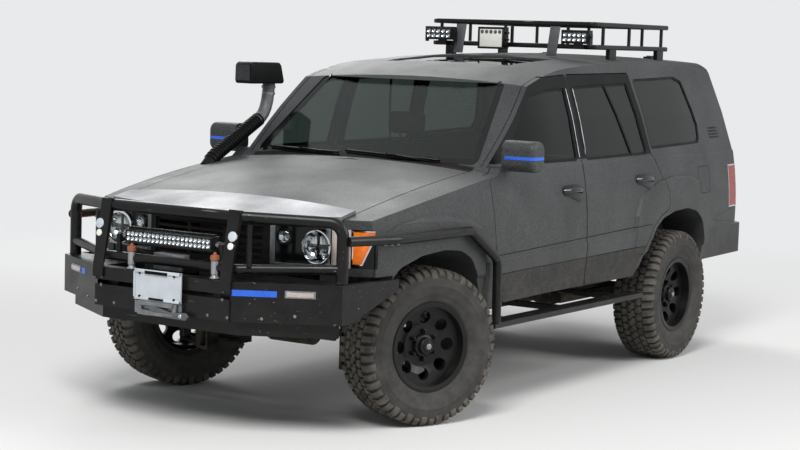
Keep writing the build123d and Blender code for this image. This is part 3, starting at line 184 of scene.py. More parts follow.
def mixed(tree: Tree, share: Socket, first: Socket | str, second: Socket | str) -> Socket:
    """Mixes two colours.

    Args:
        tree: Node tree.
        share: Share of the second colour.
        first: Socket or sRGB hex of the first colour.
        second: Socket or sRGB hex of the second colour.

    Returns:
        Socket of the mix.
    """
    pair = [linear(colour) if isinstance(colour, str) else colour for colour in (first, second)]
    return node(tree, "Mix", {"data_type": "RGBA", 0: share, 6: pair[0], 7: pair[1]}, 2)


def noise(tree: Tree, coords: Socket, size: float, detail: float, roughness: float = 0.5,
          distortion: float = 0.0) -> Socket:
    """Noise with a grain of this size in millimetres."""
    return node(tree, "TexNoise", {"Vector": coords, "Scale": 1000.0 / size, "Detail": detail,
                                   "Roughness": roughness, "Distortion": distortion}, "Fac")


def remap(tree: Tree, value: Socket, low: float, high: float, start: float = 0.0,
          end: float = 1.0) -> Socket:
    """Spreads the values from low to high over the range from start to end."""
    return node(tree, "MapRange", {"Value": value, "From Min": low, "From Max": high,
                                   "To Min": start, "To Max": end}, "Result")


def seen(tree: Tree) -> Socket:
    """Tells whether a ray shows the background.

    Args:
        tree: Node tree.

    Returns:
        Socket with 1 for camera, glossy and transmission rays, and 0 for the others.
    """
    rays = node(tree, "LightPath").node.outputs
    shown = maths(tree, "MAXIMUM", rays["Is Camera Ray"], rays["Is Glossy Ray"])
    return maths(tree, "MAXIMUM", shown, rays["Is Transmission Ray"])


class Pattern(Enum):
    """How a surface was made, which sets what its grain looks like."""

    SPRAYED = "sprayed"
    MOULDED = "moulded"
    BRUSHED = "brushed"
    SCUFFED = "scuffed"
    WOVEN = "woven"
    WOOD = "wood"


@dataclass(frozen=True)
class Coating:
    """A finish, whose material is made on first use.

    Attributes:
        name: Material name.
    """

    name: str

    def shader(self, tree: Tree, coords: Socket) -> Socket:
        """Shader of the finish on Object coordinates."""
        raise NotImplementedError

    def material(self) -> bpy.types.Material:
        """Material of the finish.

        Returns:
            The material, made if it isn't there yet.
        """
        made = bpy.data.materials.get(self.name)
        if made is None:
            made = bpy.data.materials.new(self.name)
            tree = empty_tree(made)
            close(tree, "Material", self.shader(tree, node(tree, "TexCoord", {}, "Object")))
        return made


@dataclass(frozen=True)
class Finish(Coating):
    """An opaque finish: two close colours in patches, a grain with bump, and settled dust.

    Attributes:
        colour: Main colour, sRGB hex.
        second: Colour of the patches, sRGB hex.
        roughness: Middle roughness.
        grain: Size of the grain.
        bump: Height of the grain.
        patch: Size of the colour patches.
        pattern: How the surface was made.
        metallic: 1 for bare metal.
        dust: Share of dust near the ground, 0 to 1.
        dust_colour: Colour of the dust, sRGB hex.
        coat: Weight of the clear coat.
        specular: Level of the plain reflection, lower on matt surfaces.
    """

    colour: str
    second: str
    roughness: float
    grain: float
    bump: float
    patch: float
    pattern: Pattern = Pattern.MOULDED
    metallic: float = 0.0
    dust: float = 0.0
    dust_colour: str = "8d8372"
    coat: float = 0.0
    specular: float = 0.5

    def grain_field(self, tree: Tree, coords: Socket) -> Socket:
        """Makes the grain of the pattern.

        Args:
            tree: Node tree of the material.
            coords: Object coordinates.

        Returns:
            Socket of the grain, a value round one half.
        """
        if self.pattern is Pattern.WOVEN:
            waves = [node(tree, "TexWave", {"Vector": coords, "Scale": 1000.0 / self.grain / 6.3,
                                            "bands_direction": way, "Distortion": 0.4}, "Fac")
                     for way in ("X", "Z")]
            return maths(tree, "MULTIPLY", *waves)
        stretch, detail, bend = {
            Pattern.BRUSHED: ((1.0, 0.04, 1.0), 3.0, 0.0),
            Pattern.WOOD: ((0.2, 1.0, 1.0), 5.0, 1.5),
            Pattern.SPRAYED: (None, 4.0, 0.0)}.get(self.pattern, (None, 2.0, 0.0))
        if stretch:
            coords = node(tree, "Mapping", {"Vector": coords, "Scale": stretch})
        return noise(tree, coords, self.grain, detail, distortion=bend)

    def shader(self, tree: Tree, coords: Socket) -> Socket:
        """Makes the shader: patches, flecks, scuffs and dust over each other; on sprayed paint the
        flecks are painted glints of the grit.

        Args:
            tree: Node tree of the material.
            coords: Object coordinates.

        Returns:
            Socket of the shader.
        """
        patches = noise(tree, coords, self.patch, 4.0, 0.6)
        colour = mixed(tree, remap(tree, patches, 0.35, 0.65), self.colour, self.second)
        grain = self.grain_field(tree, coords)
        # On sprayed paint these flecks in the colour are painted glints of the grit; on weave and
        # wood they are the grain's own tone
        if self.pattern in (Pattern.SPRAYED, Pattern.WOVEN, Pattern.WOOD):
            grain_tone_and_glint = remap(tree, grain, 0.34, 0.66, 0.55, 1.45)
            colour = node(tree, "VectorMath", {"operation": "SCALE", 0: colour, "Scale": grain_tone_and_glint})
        rough = remap(tree, patches, 0.3, 0.7, max(0.02, self.roughness - 0.09),
                      min(1.0, self.roughness + 0.09))
        if self.pattern is Pattern.SCUFFED:
            lines = node(tree, "Mapping", {"Vector": coords, "Rotation": (0.3, 0.5, 0.2),
                                           "Scale": (0.06, 1.0, 1.0)})
            worn = remap(tree, noise(tree, lines, 11.0, 2.0), 0.70, 0.76, 0.0, 0.6)
            colour = mixed(tree, worn, colour, "8a8a88")
        if self.dust:
            height = node(tree, "SeparateXYZ", {0: coords}, "Z")
            near = remap(tree, height, 0.35, 1.25, self.dust, 0.12 * self.dust)
            cloud = remap(tree, noise(tree, coords, 90.0, 6.0, 0.65), 0.32, 0.7)
            colour = mixed(tree, maths(tree, "MULTIPLY", near, cloud), colour, self.dust_colour)
        relief = node(tree, "Bump", {"Strength": 0.6, "Distance": self.bump / 1000.0,
                                     "Height": grain})
        return node(tree, "BsdfPrincipled",
                    {"Base Color": colour, "Roughness": rough, "Normal": relief,
                     "Metallic": self.metallic, "Coat Weight": self.coat,
                     "Specular IOR Level": self.specular, "Coat Roughness": 0.15})


@dataclass(frozen=True)
class Glazing(Coating):
    """A see-through finish with a faint film of dust.

    Attributes:
        tint: Colour of the glass, sRGB hex.
        roughness: Roughness of the clean glass.
        film: Share of dust that shows on it.
        gloss: Share of light that it reflects when seen square on.
        dark: Tint behind the change, sRGB hex, none if empty.
        change: Where the tint changes along the vehicle, in metres of the frame.
    """

    tint: str
    roughness: float = 0.0
    film: float = 0.05
    gloss: float = 0.025
    dark: str = ""
    change: float = 0.0

    def shader(self, tree: Tree, coords: Socket) -> Socket:
        """Makes the shader: tinted light from behind, and a mirror at a grazing angle.

        Args:
            tree: Node tree of the material.
            coords: Object coordinates.

        Returns:
            Socket of the shader.
        """
        rough = remap(tree, noise(tree, coords, 160.0, 6.0, 0.7), 0.5, 0.8, self.roughness,
                      self.roughness + self.film)
        tint = linear(self.tint)
        if self.dark:
            along = node(tree, "SeparateXYZ", {0: coords}, "Y")
            behind = maths(tree, "GREATER_THAN", along, self.change)
            tint = mixed(tree, behind, self.tint, self.dark)
        clear = node(tree, "BsdfTransparent", {"Color": tint})
        mirror = node(tree, "BsdfPrincipled", {"Base Color": linear("f2f4f5"), "Metallic": 1.0,
                                               "Roughness": rough})
        facing = node(tree, "LayerWeight", {"Blend": 0.5}, "Facing")
        share = remap(tree, maths(tree, "POWER", facing, 5.0), 0.0, 1.0, self.gloss, 0.95)
        return node(tree, "MixShader", {0: share, 1: clear, 2: mirror})


# Textured bed-liner paint: fine raised grit that scatters light, no gloss, dust near the sills; the
# lighter and darker flecks in its colour are painted glints of the grit
BODY_PAINT = Finish("grit_paint", "37393a", "2e3031", 0.56, 8, 1.0, 800, Pattern.SPRAYED,
                    dust=0.1, specular=0.3)
# The same paint, darker and duller under the doors' lower line
SILL_PAINT = Finish("darker_grit_paint", "2b2c2c", "333332", 0.68, 8, 0.8, 260, Pattern.SPRAYED,
                    dust=0.13, specular=0.2)
# Powder coated steel: satin black with bright scuffs
POWDER_BLACK = Finish("powder_coat", "0b0c0d", "101113", 0.32, 2.5, 0.08, 200, Pattern.SCUFFED,
                      dust=0.04, specular=0.22)
# Chassis paint under the vehicle: matt black under dried mud
CHASSIS = Finish("chassis_paint", "121213", "1b1a16", 0.75, 6, 0.5, 120, dust=0.25, specular=0.1)
# Sheet protector on the hood's edge: smoother and lighter than the paint behind it
SHEET_GREY = Finish("protector_sheet", "66696d", "5c5f63", 0.5, 3, 0.12, 350, Pattern.SPRAYED)
# Rough cast iron and steel with a brown film, for axles and castings
CASTING = Finish("bare_casting", "3f3e3c", "31302d", 0.65, 4, 0.4, 80, metallic=0.6, dust=0.35)
# Sidewall rubber: dark grey, faded and dusty
RUBBER = Finish("tyre_sidewall", "2c2c2b", "363534", 0.78, 3, 0.15, 120, dust=0.3,
                dust_colour="6b6863", specular=0.2)
# Tread rubber scrubbed pale brown by dry soil
TREAD = Finish("tyre_tread", "363432", "4a4743", 0.85, 4, 0.4, 45, dust=0.5,
               dust_colour="7d776e", specular=0.15)
# Wheel enamel: smooth satin black
WHEEL_BLACK = Finish("wheel_enamel", "0b0c0d", "101112", 0.36, 5, 0.05, 150, dust=0.02,
                     specular=0.22)
# Polished black plastic: nearly a mirror, for lamp housings and caps
GLOSS_BLACK = Finish("gloss_mould", "08090a", "0d0e0f", 0.16, 8, 0.02, 300, specular=0.25)
# Grained black plastic with a dull sheen
TRIM_BLACK = Finish("grained_trim", "0a0b0b", "0f1010", 0.5, 2.2, 0.15, 180, dust=0.03,
                    specular=0.1)
# Soft black rubber of seals, gaps and wipers
SEAL = Finish("window_seal", "060607", "0a0b0b", 0.42, 3, 0.05, 150, specular=0.1)
# Grey plastic with a coarse grain, for lamp frames, brackets and the intake's elbow
FRAME_GREY = Finish("lamp_frame_mould", "55585a", "484b4d", 0.5, 3, 0.3, 40)
# Chromium plate: a clean bright mirror
CHROME = Finish("bright_plating", "d4d6d8", "c3c6c8", 0.09, 20, 0.01, 60, metallic=1.0)
# Chrome of the door handles, its colour darkened into a painted reflection of dark surroundings,
# with sharp highlights
DARK_REFLECTION_CHROME = Finish("chrome_painted_dark_reflection", "4a4d50", "404346", 0.14, 8, 0.0, 200, metallic=1.0,
                       dust=0.02)
# Plain steel with a drawn grain
STEEL = Finish("plain_steel", "8f9194", "7a7c7f", 0.36, 2, 0.05, 60, Pattern.BRUSHED, 1.0)
# Cast light alloy: pale grey, faintly rough
LIGHT_METAL = Finish("cast_alloy", "a8abad", "939699", 0.42, 3, 0.1, 60, metallic=0.8)
# Glossy blue tape on the bumper's wings and the mirrors
BLUE_TAPE = Finish("blue_tape", "1c55c8", "2763d2", 0.3, 3, 0.03, 80)
# Painted sheet of the blank plate: pale, with a cool cast
PLATE = Finish("plate_sheet", "c4cacf", "b8bec3", 0.5, 5, 0.05, 90)
# Soft tan plastic of the dashboard
TAN = Finish("tan_mould", "a58763", "96795a", 0.6, 2.5, 0.2, 200)
# Varnished wood of the wheel's rim, with long brown grain
WOOD = Finish("varnished_wood", "9a5f33", "7c4823", 0.3, 12, 0.05, 90, Pattern.WOOD, coat=0.6)
# Woven seat cloth in warm grey
CLOTH = Finish("seat_weave", "77695a", "6a5d50", 0.85, 4, 0.6, 220, Pattern.WOVEN)
# Darker, tighter cloth of the seat bolsters and headrests
CLOTH_DARK = Finish("bolster_weave", "51473c", "473e35", 0.8, 3, 0.4, 160, Pattern.WOVEN)
# White emitters and the frosted cover of the work lamp
LED_WHITE = Finish("led_cell", "e9e9e2", "dcdcd4", 0.3, 5, 0.02, 30)
# Weathered orange plastic of the isolator caps
ORANGE = Finish("orange_cap", "96593c", "7d4a32", 0.5, 3, 0.1, 30)
# Grey synthetic winch rope, laid in strands
ROPE = Finish("synthetic_rope", "8a8c8c", "6e7070", 0.8, 4, 0.8, 60, Pattern.WOVEN)
# Nearly clear front glass with privacy glass behind the front doors
SCREEN_GLASS = Glazing("screen_glass", "eaf1ee", dark="7d8581", change=-0.19)
# Privacy glass of the doors and the liftgate
TINTED_GLASS = Glazing("tinted_glass", "7d8581")
# Clear polycarbonate lens
LAMP_GLASS = Glazing("lamp_glass", "f7f9fa", 0.02, 0.04)
# Moulded amber lens: saturated colour under a clear gloss
AMBER_LENS = Finish("amber_lens", "f07a1c", "d9620f", 0.22, 6, 0.25, 30, coat=0.4)
# Moulded red lens of the tail lamps
RED_LENS = Finish("red_lens", "8c1210", "750d0c", 0.2, 6, 0.25, 30, coat=0.15, specular=0.2)
# Weathered milky lens of the side lamps
CLEAR_LENS = Finish("side_lens", "b5a8a2", "a39790", 0.25, 5, 0.2, 30, coat=1.0)


class Shape:
    """A mesh in the making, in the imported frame."""

    def __init__(self) -> None:
        """Starts empty."""
        self.bm = bmesh.new()
        self.done = self.bm.faces.layers.int.new("done")

    def paint(self, number: int) -> None:
        """Gives the faces added since the last call one of the piece's materials.

        Args:
            number: Place of the material in the piece's list.
        """
        for face in self.bm.faces:
            if not face[self.done]:
                face.material_index = number
                face[self.done] = 1

    def block(self, low: Vector, high: Vector) -> None:
        """Adds a block between its lowest and its highest corner."""
        matrix = Matrix.Translation((low + high) / 2) @ Matrix.Diagonal((*(high - low), 1.0))
        bmesh.ops.create_cube(self.bm, size=1.0, matrix=matrix)

    def slabs(self, near: float, far: float, *boxes: tuple[float, float, float, float]) -> None:
        """Adds blocks between two stations, each over a range of x and one of heights."""
        for x0, x1, z0, z1 in boxes:
            self.block(at(x0, near, z0), at(x1, far, z1))

    def rod(self, start: Vector, end: Vector, radius: float, last: float | None = None,
            sides: int = 20) -> None:
        """Adds a round rod or cone between two points.

        Args:
            start: Middle of one end.
            end: Middle of the other end.
            radius: Radius at the start.
            last: Radius at the end, the same if left out.
            sides: Faces round it.
        """
        along = end - start
        matrix = Matrix.Translation((start + end) / 2)
        matrix = matrix @ along.to_track_quat("Z", "Y").to_matrix().to_4x4()
        last = radius if last is None else last
        bmesh.ops.create_cone(self.bm, cap_ends=True, segments=sides, radius1=radius / 1000,
                              radius2=last / 1000, depth=along.length, matrix=matrix)

    def prism(self, outline: Iterable[Vector], along: Vector) -> list:
        """Adds a flat outline pushed along a vector.

        Args:
            outline: Corners of the outline.
            along: Length and direction of the push.

        Returns:
            The prism's vertices.
        """
        corners = [self.bm.verts.new(point) for point in outline]
        face = self.bm.faces.new(corners)
        pushed = bmesh.ops.extrude_face_region(self.bm, geom=[face])["geom"]
        moved = [item for item in pushed if isinstance(item, bmesh.types.BMVert)]
        bmesh.ops.translate(self.bm, vec=along, verts=moved)
        return corners + moved

    def lathe(self, profile: Profile, axes: Matrix, steps: int = 32) -> None:
        """Adds a profile turned once round its local X axis.

        Args:
            profile: Pairs of distance along X and radius.
            axes: Matrix from the local axes to the frame.
            steps: Faces round it.
        """
        verts = [self.bm.verts.new(mm(along, 0.0, radius)) for along, radius in profile]
        edges = [self.bm.edges.new(pair) for pair in zip(verts, verts[1:])]
        before = set(self.bm.verts) - set(verts)
        bmesh.ops.spin(self.bm, geom=verts + edges, cent=(0, 0, 0), axis=(1, 0, 0),
                       angle=math.tau, steps=steps, use_merge=True)
        fresh = [v for v in self.bm.verts if v not in before]
        bmesh.ops.remove_doubles(self.bm, verts=fresh, dist=1e-5)
        fresh = [v for v in self.bm.verts if v not in before]
        bmesh.ops.transform(self.bm, matrix=axes, verts=fresh)

    def run(self, points: Sequence[Vector], radius: float, sides: int = 12) -> None:
        """Adds a round tube along a line of points.

        Args:
            points: Points of the middle line.
            radius: Radius of the tube.
            sides: Faces round it.
        """
        heading = (points[1] - points[0]).normalized()
        turn = heading.to_track_quat("Z", "Y")
        spot = Matrix.Translation(points[0]) @ turn.to_matrix().to_4x4()
        ring = bmesh.ops.create_circle(self.bm, cap_ends=True, segments=sides,
                                       radius=radius / 1000, matrix=spot)["verts"]
        face = ring[0].link_faces[0]
        for number in range(1, len(points)):
            after = points[min(number + 1, len(points) - 1)]
            following = (after - points[number - 1]).normalized()
            next_turn = heading.rotation_difference(following) @ turn
            next_spot = Matrix.Translation(points[number]) @ next_turn.to_matrix().to_4x4()
            pushed = bmesh.ops.extrude_face_region(self.bm, geom=[face])["geom"]
            moved = [item for item in pushed if isinstance(item, bmesh.types.BMVert)]
            bmesh.ops.transform(self.bm, matrix=next_spot @ spot.inverted(), verts=moved)
            if number > 1:
                bmesh.ops.delete(self.bm, geom=[face], context="FACES_ONLY")
            face = next(item for item in pushed if isinstance(item, bmesh.types.BMFace))
            heading, turn, spot = following, next_turn, next_spot

    def soften(self, width: float, angle: float = 40.0, segments: int = 2) -> "Shape":
        """Rounds the sharp edges.

        Args:
            width: Width of the rounding.
            angle: Least angle of a sharp edge, in degrees.
            segments: Faces across the rounding.

        Returns:
            The shape itself.
        """
        limit = math.radians(angle)
        sharp = [e for e in self.bm.edges if e.is_manifold and e.calc_face_angle() > limit]
        bmesh.ops.bevel(self.bm, geom=sharp, offset=width / 1000, segments=segments,
                        profile=0.5, affect="EDGES", material=-1, clamp_overlap=True)
        return self

    def piece(self, name: str, slot: str, *finishes: Coating, body: str = "body",
              shade: float = 35.0) -> bpy.types.Object:
        """Makes the object, with its finishes, and puts it on its body.

        Args:
            name: Name of the piece.
            slot: Material slot of the record; not used.
            finishes: Finishes by material number.
            body: Body that it rides on.
            shade: Angle under which edges look smooth, in degrees.

        Returns:
            The new object.
        """
        bmesh.ops.recalc_face_normals(self.bm, faces=self.bm.faces)
        self.bm.faces.layers.int.remove(self.done)
        mesh = bpy.data.meshes.new(name)
        self.bm.to_mesh(mesh)
        self.bm.free()
        for face in mesh.polygons:
            face.use_smooth = True
        mesh.set_sharp_from_angle(angle=math.radians(shade))
        for finish in finishes:
            mesh.materials.append(finish.material())
        made = place(name, mesh)
        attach(made, body)
        log.info("%s on %s: %d faces", name, body, len(mesh.polygons))
        return made


class Skin(Shape):
    """The outer faces of a CAD node, cut down to a region, which become a thin piece over it."""

    def __init__(self, name: str, facing: Vector, least: float) -> None:
        """Copies the faces of a node that look one way.

        Args:
            name: Name of the CAD node.
            facing: Direction that the faces look in.
            least: Least cosine between a face's normal and that direction.
        """
        super().__init__()
        self.bm.from_mesh(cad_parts[name].data)
        layers = self.bm.faces.layers.int
        self.done = layers.get("done") or layers.new("done")
        bmesh.ops.remove_doubles(self.bm, verts=self.bm.verts, dist=1e-5)
        aim = facing.normalized()
        away = [f for f in self.bm.faces if f.normal.dot(aim) < least]
        bmesh.ops.delete(self.bm, geom=away, context="FACES")

    def cut(self, point: Vector, away: Vector) -> "Skin":
        """Removes what lies beyond a plane.

        Args:
            point: Point on the plane.
            away: Direction of what is removed.

        Returns:
            The skin itself.
        """
        geom = self.bm.verts[:] + self.bm.edges[:] + self.bm.faces[:]
        bmesh.ops.bisect_plane(self.bm, geom=geom, plane_co=point, plane_no=away,
                               dist=1e-6, clear_outer=True)
        return self

    def within(self, x: Pair | None = None, station: Pair | None = None,
               height: Pair | None = None) -> "Skin":
        """Keeps what lies inside three ranges.

        Args:
            x: Range of x, all of it if left out.
            station: Range of stations.
            height: Range of heights.

        Returns:
            The skin itself.
        """
        for axis, pair in enumerate((x, station, height)):
            for value, sign in zip(pair or (), (-1.0, 1.0)):
                spot, aim = [0.0, 0.0, 0.0], Vector((0.0, 0.0, 0.0))
                spot[axis] = value
                aim[axis] = sign
                self.cut(at(*spot), aim)
        return self

    def border(self, width: float) -> "Skin":
        """Keeps only a border along the edge.

        Args:
            width: Width of the border.

        Returns:
            The skin itself.
        """
        ring = bmesh.ops.inset_region(self.bm, faces=self.bm.faces[:], thickness=width / 1000,
                                      use_boundary=True, use_even_offset=False)["faces"]
        kept = set(ring)
        inner = [f for f in self.bm.faces if f not in kept]
        bmesh.ops.delete(self.bm, geom=inner, context="FACES")
        return self

    def band(self, start: Pair, end: Pair, width: float) -> "Skin":
        """Keeps a slanting band, seen from the side.

        Args:
            start: Station and height where its middle line starts.
            end: Station and height of another point on that line.
            width: Width of the band.

        Returns:
            The skin itself.
        """
        along = Vector((0.0, end[0] - start[0], end[1] - start[1])).normalized()
        across = Vector((0.0, -along.z, along.y))
        for sign in (-1.0, 1.0):
            self.cut(at(0, *start) + across * sign * width / 2000, across * sign)
        return self

    def lift(self, height: float, wall: float) -> "Skin":
        """Raises the faces and gives them a wall inwards.

        Args:
            height: Height over the node's surface.
            wall: Thickness of the wall.

        Returns:
            The skin itself.
        """
        self.bm.normal_update()
        normals = {vert.co.copy().freeze(): vert.normal.copy() for vert in self.bm.verts}
        pushed = bmesh.ops.extrude_face_region(self.bm, geom=self.bm.faces[:],
                                               use_keep_orig=True)["geom"]
        outer = {item for item in pushed if isinstance(item, bmesh.types.BMVert)}
        for vert in self.bm.verts:
            normal = normals[vert.co.copy().freeze()]
            vert.co += normal * ((height if vert in outer else height - wall) / 1000)
        return self

    def piece(self, name: str, slot: str, *finishes: Coating,
              **options: str | float) -> bpy.types.Object:
        """Makes the object with one finish all over."""
        self.paint(0)
        return super().piece(name, slot, *finishes, **options)


class Surface:
    """Outer faces of CAD nodes, which fittings are laid on."""

    def __init__(self, *names: str) -> None:
        """Reads the faces of CAD nodes.

        Args:
            names: Names of the nodes.
        """
        verts: list[Vector] = []
        faces: list[list[int]] = []
        for name in names:
            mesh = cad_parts[name].data
            first = len(verts)
            verts += [vert.co.copy() for vert in mesh.vertices]
            faces += [[first + i for i in poly.vertices] for poly in mesh.polygons]
        self.tree = BVHTree.FromPolygons(verts, faces)

    def hit(self, start: Vector, aim: Vector) -> tuple[Vector, Vector]:
        """Finds where a ray meets the surface.

        Args:
            start: Where the ray starts.
            aim: Direction of the ray.

        Returns:
            The point and the normal there.
        """
        point, normal, _, _ = self.tree.ray_cast(start, aim.normalized())
        if point is None:
            raise ValueError(f"no surface along {tuple(aim)} from {tuple(start)}")
        return point, normal

    def seat(self, start: Vector, aim: Vector) -> Matrix:
        """Makes axes at the point where a ray meets the surface.

        Args:
            start: Where the ray starts.
            aim: Direction of the ray.

        Returns:
            Matrix with X along the outward normal, Z as upright as can be and Y across.
        """
        point, normal = self.hit(start, aim)
        if normal.dot(aim) > 0.0:
            normal = -normal
        across = Vector((0.0, 0.0, 1.0)).cross(normal).normalized()
        turned = Matrix((normal, across, normal.cross(across))).transposed()
        return Matrix.Translation(point) @ turned.to_4x4()


@dataclass
class Studio:
    """Camera at the photograph's angle, pale floor, soft lamps and world.

    Attributes:
        azimuth: Camera's direction from the front towards the left, in degrees.
        elevation: Camera's direction above the horizon, in degrees.
        roll: Turn about the line of sight, in degrees.
        distance: Distance to the middle point.
        focal: Focal length for a sensor 36 mm wide.
        offset: Shift of the camera to its right and up.
    """

    azimuth: float = 33.019
    elevation: float = 5.543
    roll: float = 1.816
    distance: float = 11570.105
    focal: float = 86.509
    offset: Pair = (-206.519, -23.958)

    def camera(self) -> None:
        """Makes the scene's camera."""
        az, el, roll = (math.radians(v) for v in (self.azimuth, self.elevation, self.roll))
        back = Vector((math.sin(az) * math.cos(el), -math.cos(az) * math.cos(el), math.sin(el)))
        flat = Vector((math.cos(az), math.sin(az), 0.0))
        rise = back.cross(flat)
        right = flat * math.cos(roll) + rise * math.sin(roll)
        up = rise * math.cos(roll) - flat * math.sin(roll)
        shift = back * self.distance + right * self.offset[0] + up * self.offset[1]
        data = bpy.data.cameras.new("photo_camera")
        data.sensor_width = 36.0
        data.lens = self.focal
        data.clip_end = 200.0
        camera = place("photo_camera", data)
        turn = Matrix((right, up, back)).transposed()
        spot = at(0, 1400, 900) + shift / 1000
        camera.matrix_world = Matrix.Translation(spot) @ turn.to_4x4()
        bpy.context.scene.camera = camera

    def floor(self) -> None:
        """Makes the pale floor, which fades into the background far from the wagon."""
        bm = bmesh.new()
        bmesh.ops.create_grid(bm, x_segments=1, y_segments=1, size=60.0)
        mesh = bpy.data.meshes.new("floor")
        bm.to_mesh(mesh)
        bm.free()
        made = bpy.data.materials.new("pale_floor")
        tree = empty_tree(made)
        lit = node(tree, "BsdfPrincipled", {"Base Color": linear("dcdcda"), "Roughness": 0.9})
        flat = node(tree, "Emission", {"Color": linear(PALE), "Strength": 1.0})
        coords = node(tree, "TexCoord", {}, "Object")
        length = node(tree, "VectorMath", {"operation": "LENGTH", 0: coords}, "Value")
        far = node(tree, "MapRange", {"interpolation_type": "SMOOTHSTEP", "Value": length,
                                      "From Min": 3.4, "From Max": 9.0}, "Result")
        share = maths(tree, "MULTIPLY", far, seen(tree))
        close(tree, "Material", node(tree, "MixShader", {0: share, 1: lit, 2: flat}))
        mesh.materials.append(made)
        place("floor", mesh)

    def lamp(self, name: str, spot: Vector, size: float, watts: float) -> None:
        """Adds a soft lamp that points at the wagon's middle.

        Args:
            name: Name of the lamp.
            spot: Where it stands.
            size: Side of its square, in metres.
            watts: Power.
        """
        data = bpy.data.lights.new(name, "AREA")
        data.size = size
        data.energy = watts
        lamp = place(name, data)
        lamp.location = spot
        lamp.rotation_mode = "QUATERNION"
        lamp.rotation_quaternion = (Vector((0.0, 0.0, 0.9)) - spot).to_track_quat("-Z", "Y")

    def build(self) -> None:
        """Makes camera, floor, lamps and world."""
        self.camera()
        self.floor()
        self.lamp("key_lamp", Vector((3.5, -8.0, 8.5)), 4.0, 1050)
        self.lamp("side_lamp", Vector((8.5, 2.5, 5.0)), 5.0, 480)
        self.lamp("back_lamp", Vector((-7.0, 6.5, 7.0)), 5.0, 600)
        world = bpy.data.worlds.new("studio_world")
        tree = empty_tree(world)
        plain = node(tree, "Background", {"Color": linear("dfe2e6"), "Strength": 0.42})
        pale = node(tree, "Background", {"Color": linear(PALE), "Strength": 1.0})
        close(tree, "World", node(tree, "MixShader", {0: seen(tree), 1: plain, 2: pale}))
        bpy.context.scene.world = world
        bpy.context.scene.view_settings.view_transform = "Standard"


@dataclass
class Coats:
    """Finishes of the CAD nodes.

    Attributes:
        plan: Pairs of a finish and the nodes that wear it, where * stands for left and right.
    """

    plan: tuple[tuple[Coating, str], ...] = (
        (BODY_PAINT, "body_side_* roof_panel wings hood front_door_* rear_door_* liftgate "
                     "tailgate"),
        (TRIM_BLACK, "front_panel grille snorkel"),
        (SHEET_GREY, "hood_protector"),
        (CHASSIS, "floor_and_bulkhead ladder_frame rear_suspension front_suspension fuel_tank"),
        (GLOSS_BLACK, "headlamps"),
        (LAMP_GLASS, "headlamp_lenses"),
        (RED_LENS, "tail_lamps"),
        (SCREEN_GLASS, "fixed_glass"),
        (TINTED_GLASS, "front_door_glass_* rear_door_glass_* liftgate_glass"),
        (CASTING, "powertrain rear_axle front_differential knuckle_*"),
        (WHEEL_BLACK, "rim_front_* rim_rear_*"),
        (POWDER_BLACK, "bull_bar bull_bar_hoops side_steps side_rails rear_bumper hitch "
                       "roof_rack work_lights"),
        (STEEL, "winch exhaust"),
        (PLATE, "number_plate"),
        (TAN, "dashboard"),
        (WOOD, "steering_wheel"),
        (RUBBER, "spare_wheel tyre_front_* tyre_rear_*"),
        (CLOTH, "seats"))

    def build(self) -> None:
        """Gives each CAD node its finish."""
        for finish, names in self.plan:
            for name in names.split():
                for cad_node in sorted({name.replace("*", side) for _, side in SIDES}):
                    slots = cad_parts[cad_node].data.materials
                    slots.clear()
                    slots.append(finish.material())


